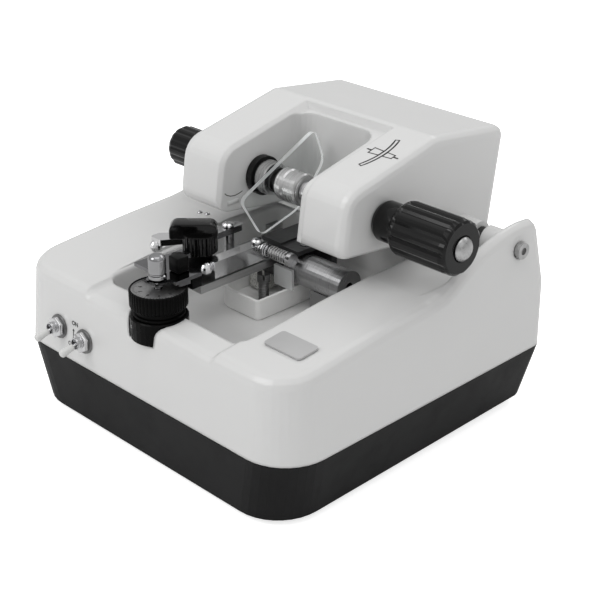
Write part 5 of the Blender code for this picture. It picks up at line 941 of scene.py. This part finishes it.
# Pictogram on the head's right arm: a curved lens seen on edge between two clamping pads.
# It is printed in thin black lines on the sloping top.
head_rise = math.atan2(0.0118, 0.0539)
icon_line = 0.0008
work = bmesh.new()
arc = [math.radians(angle) for angle in range(-22, 23, 4)]
front = [(-0.029 + 0.03 * math.cos(angle), 0.03 * math.sin(angle)) for angle in arc]
rear = [(-0.029 + 0.0318 * math.cos(angle), 0.0318 * math.sin(angle)) for angle in reversed(arc)]
draw_line(work, front + rear, icon_line, closed=True)
for start, end, half in ((-0.0045, 0.0008, 0.0022), (0.003, 0.0075, 0.0017)):
    pad = [(start, -half), (end, -half * 0.8), (end, half * 0.8), (start, half)]
    draw_line(work, pad, icon_line, closed=True)
draw_line(work, [(-0.007, 0), (-0.0045, 0)], icon_line)
draw_line(work, [(0.0075, 0), (0.01, 0)], icon_line)
icon_y = 0.0245
icon_spot = Vector((0.0365, icon_y, 0.1068 + (icon_y + 0.0084) * math.tan(head_rise) + 0.00003))
bmesh.ops.transform(
    work, matrix=Matrix.Translation(icon_spot) @ Matrix.Rotation(head_rise, 4, "X"), verts=work.verts
)
to_piece(work, "clamp_pictogram", "head", ink_black)


# Under the left arm's inner wall: the curved joint line of the arm's lower cover and its clip.
# The line is a narrow gap between the two mouldings; the clip is a small white tab.
work = bmesh.new()
wall_x = -0.02338
joint = [(-0.0079, 0.088), (-0.0066, 0.0868), (-0.0045, 0.0859)]
joint += [(-0.002, 0.0856), (0.0003, 0.0859), (0.0024, 0.0865)]
draw_line(work, joint, 0.0004, 0.00006)
stand = Matrix(((0, 0, 1, wall_x), (1, 0, 0, 0), (0, 1, 0, 0), (0, 0, 0, 1)))
bmesh.ops.transform(work, matrix=stand, verts=work.verts)
to_piece(work, "arm_joint_line", "head", ink_black)
work = bmesh.new()
add_block(work, (0.0006, 0.0066, 0.0022), (wall_x + 0.0001, -0.0032, 0.083))
round_edges(work, work.edges[:], 0.00015, 2)
to_piece(work, "arm_clip", "head", head_lit_gloss)


# Hinge: two socket screws in the ears, with black washers between ears and head.
# The screws are satin steel; their heads sit in counterbores.
hinge_steel = brushed_metal(
    "hinge_steel", (0.36, 0.36, 0.36), (0.5, 0.5, 0.5), 0.25, (4000, 300, 300)
)
washer_plastic = moulded_plastic(
    "washer_plastic", (0.012, 0.012, 0.012), (0.02, 0.02, 0.02), 0.35, 2400.0, 0.00001
)
for side in ("left", "right"):
    dress("hinge_screw_" + side, hinge_steel)
    dress("hinge_washer_" + side, washer_plastic)


# Chuck line: satin turned sleeves that hold the lens by its middle, on a bright shaft.
# The turning marks run round the axis; a black bush carries the left side.
sleeve_steel = brushed_metal(
    "sleeve_steel", (0.45, 0.45, 0.45), (0.6, 0.6, 0.6), 0.2, (4200, 60, 60)
)
for name in ("left_spindle", "left_chuck", "right_chuck", "lens_motor_pulley"):
    dress(name, sleeve_steel)
bush_plastic = moulded_plastic(
    "bush_plastic", (0.003, 0.003, 0.003), (0.006, 0.006, 0.006), 0.3, 2200.0, 0.00001, 0.02, 0.25
)
dress("left_bush", bush_plastic)
dress("clamp_shaft", polished_chrome("shaft_chrome", 0.06))


# The clamped lens: a clear blank cut to a frame's outline, with a ground edge.
# The faces are polished; the edge is left frosted by the grinding wheel.
lens_clear, tree, shader, place = blank_material("lens_clear")
shader.inputs["Base Color"].default_value = (0.97, 0.985, 0.98, 1)
shader.inputs["Transmission Weight"].default_value = 1.0
shader.inputs["IOR"].default_value = 1.22
smear = use_group(tree, fine_dust, place, Speck_Scale=700.0)
facing = tree.nodes.new("ShaderNodeTexCoord")
axes = tree.nodes.new("ShaderNodeSeparateXYZ")
tree.links.new(facing.outputs["Normal"], axes.inputs[0])
flat = tree.nodes.new("ShaderNodeMath")
flat.operation = "ABSOLUTE"
tree.links.new(axes.outputs["X"], flat.inputs[0])
ground = span(tree, flat.outputs[0], 0.55, 0.0, 0.2, 0.7)
worn = tree.nodes.new("ShaderNodeMath")
worn.operation = "MULTIPLY_ADD"
tree.links.new(smear.outputs["Haze"], worn.inputs[0])
worn.inputs[1].default_value = 0.02
tree.links.new(ground, worn.inputs[2])
tree.links.new(worn.outputs[0], shader.inputs["Roughness"])
# The frosted edge faces glow faintly grey: painted light for the light the ground edge scatters.
painted_glow_mask = span(tree, flat.outputs[0], 1.0, 0.0, 0.2, 0.7)
painted_edge_glow = blend_colours(tree, painted_glow_mask, (0, 0, 0), (0.28, 0.287, 0.287))
tree.links.new(painted_edge_glow, shader.inputs["Emission Color"])
shader.inputs["Emission Strength"].default_value = 1.0
dress("clamped_lens", lens_clear)


# Knobs: a small ribbed one turns the lens by hand, the long one on the right clamps it.
# Both are glossy black plastic; the clamp knob carries a satin metal cap.
dress("left_knob", knob_plastic)
dress("clamp_knob", knob_plastic)
cap_metal = brushed_metal("cap_metal", (0.4, 0.4, 0.4), (0.52, 0.52, 0.52), 0.24, (600, 600, 600))
low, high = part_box("knob_cap")
cap_radius = (high.z - low.z) / 2
cap_long = high.x - low.x
cap_spot = Matrix.Translation((low.x, (low.y + high.y) / 2, (low.z + high.z) / 2))
cap_spot @= Matrix.Rotation(math.pi / 2, 4, "Y")
cap = [(0, 0), (cap_radius - 0.0004, 0), (cap_radius - 0.0004, cap_long - 0.0028)]
cap += [(cap_radius - 0.0002, cap_long - 0.0027), (cap_radius - 0.0003, cap_long - 0.0022)]
for step in range(1, 9):
    turn = math.radians(90 * step / 8)
    cap.append(((cap_radius - 0.0008) * math.cos(turn), cap_long - 0.0021 + 0.0021 * math.sin(turn)))
cap[-1] = (0, cap_long)
work = bmesh.new()
spin_profile(work, cap, cap_spot, 48)
cap_piece = to_piece(work, "cap_dome", "clamp", cap_metal, 50)
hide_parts("knob_cap")
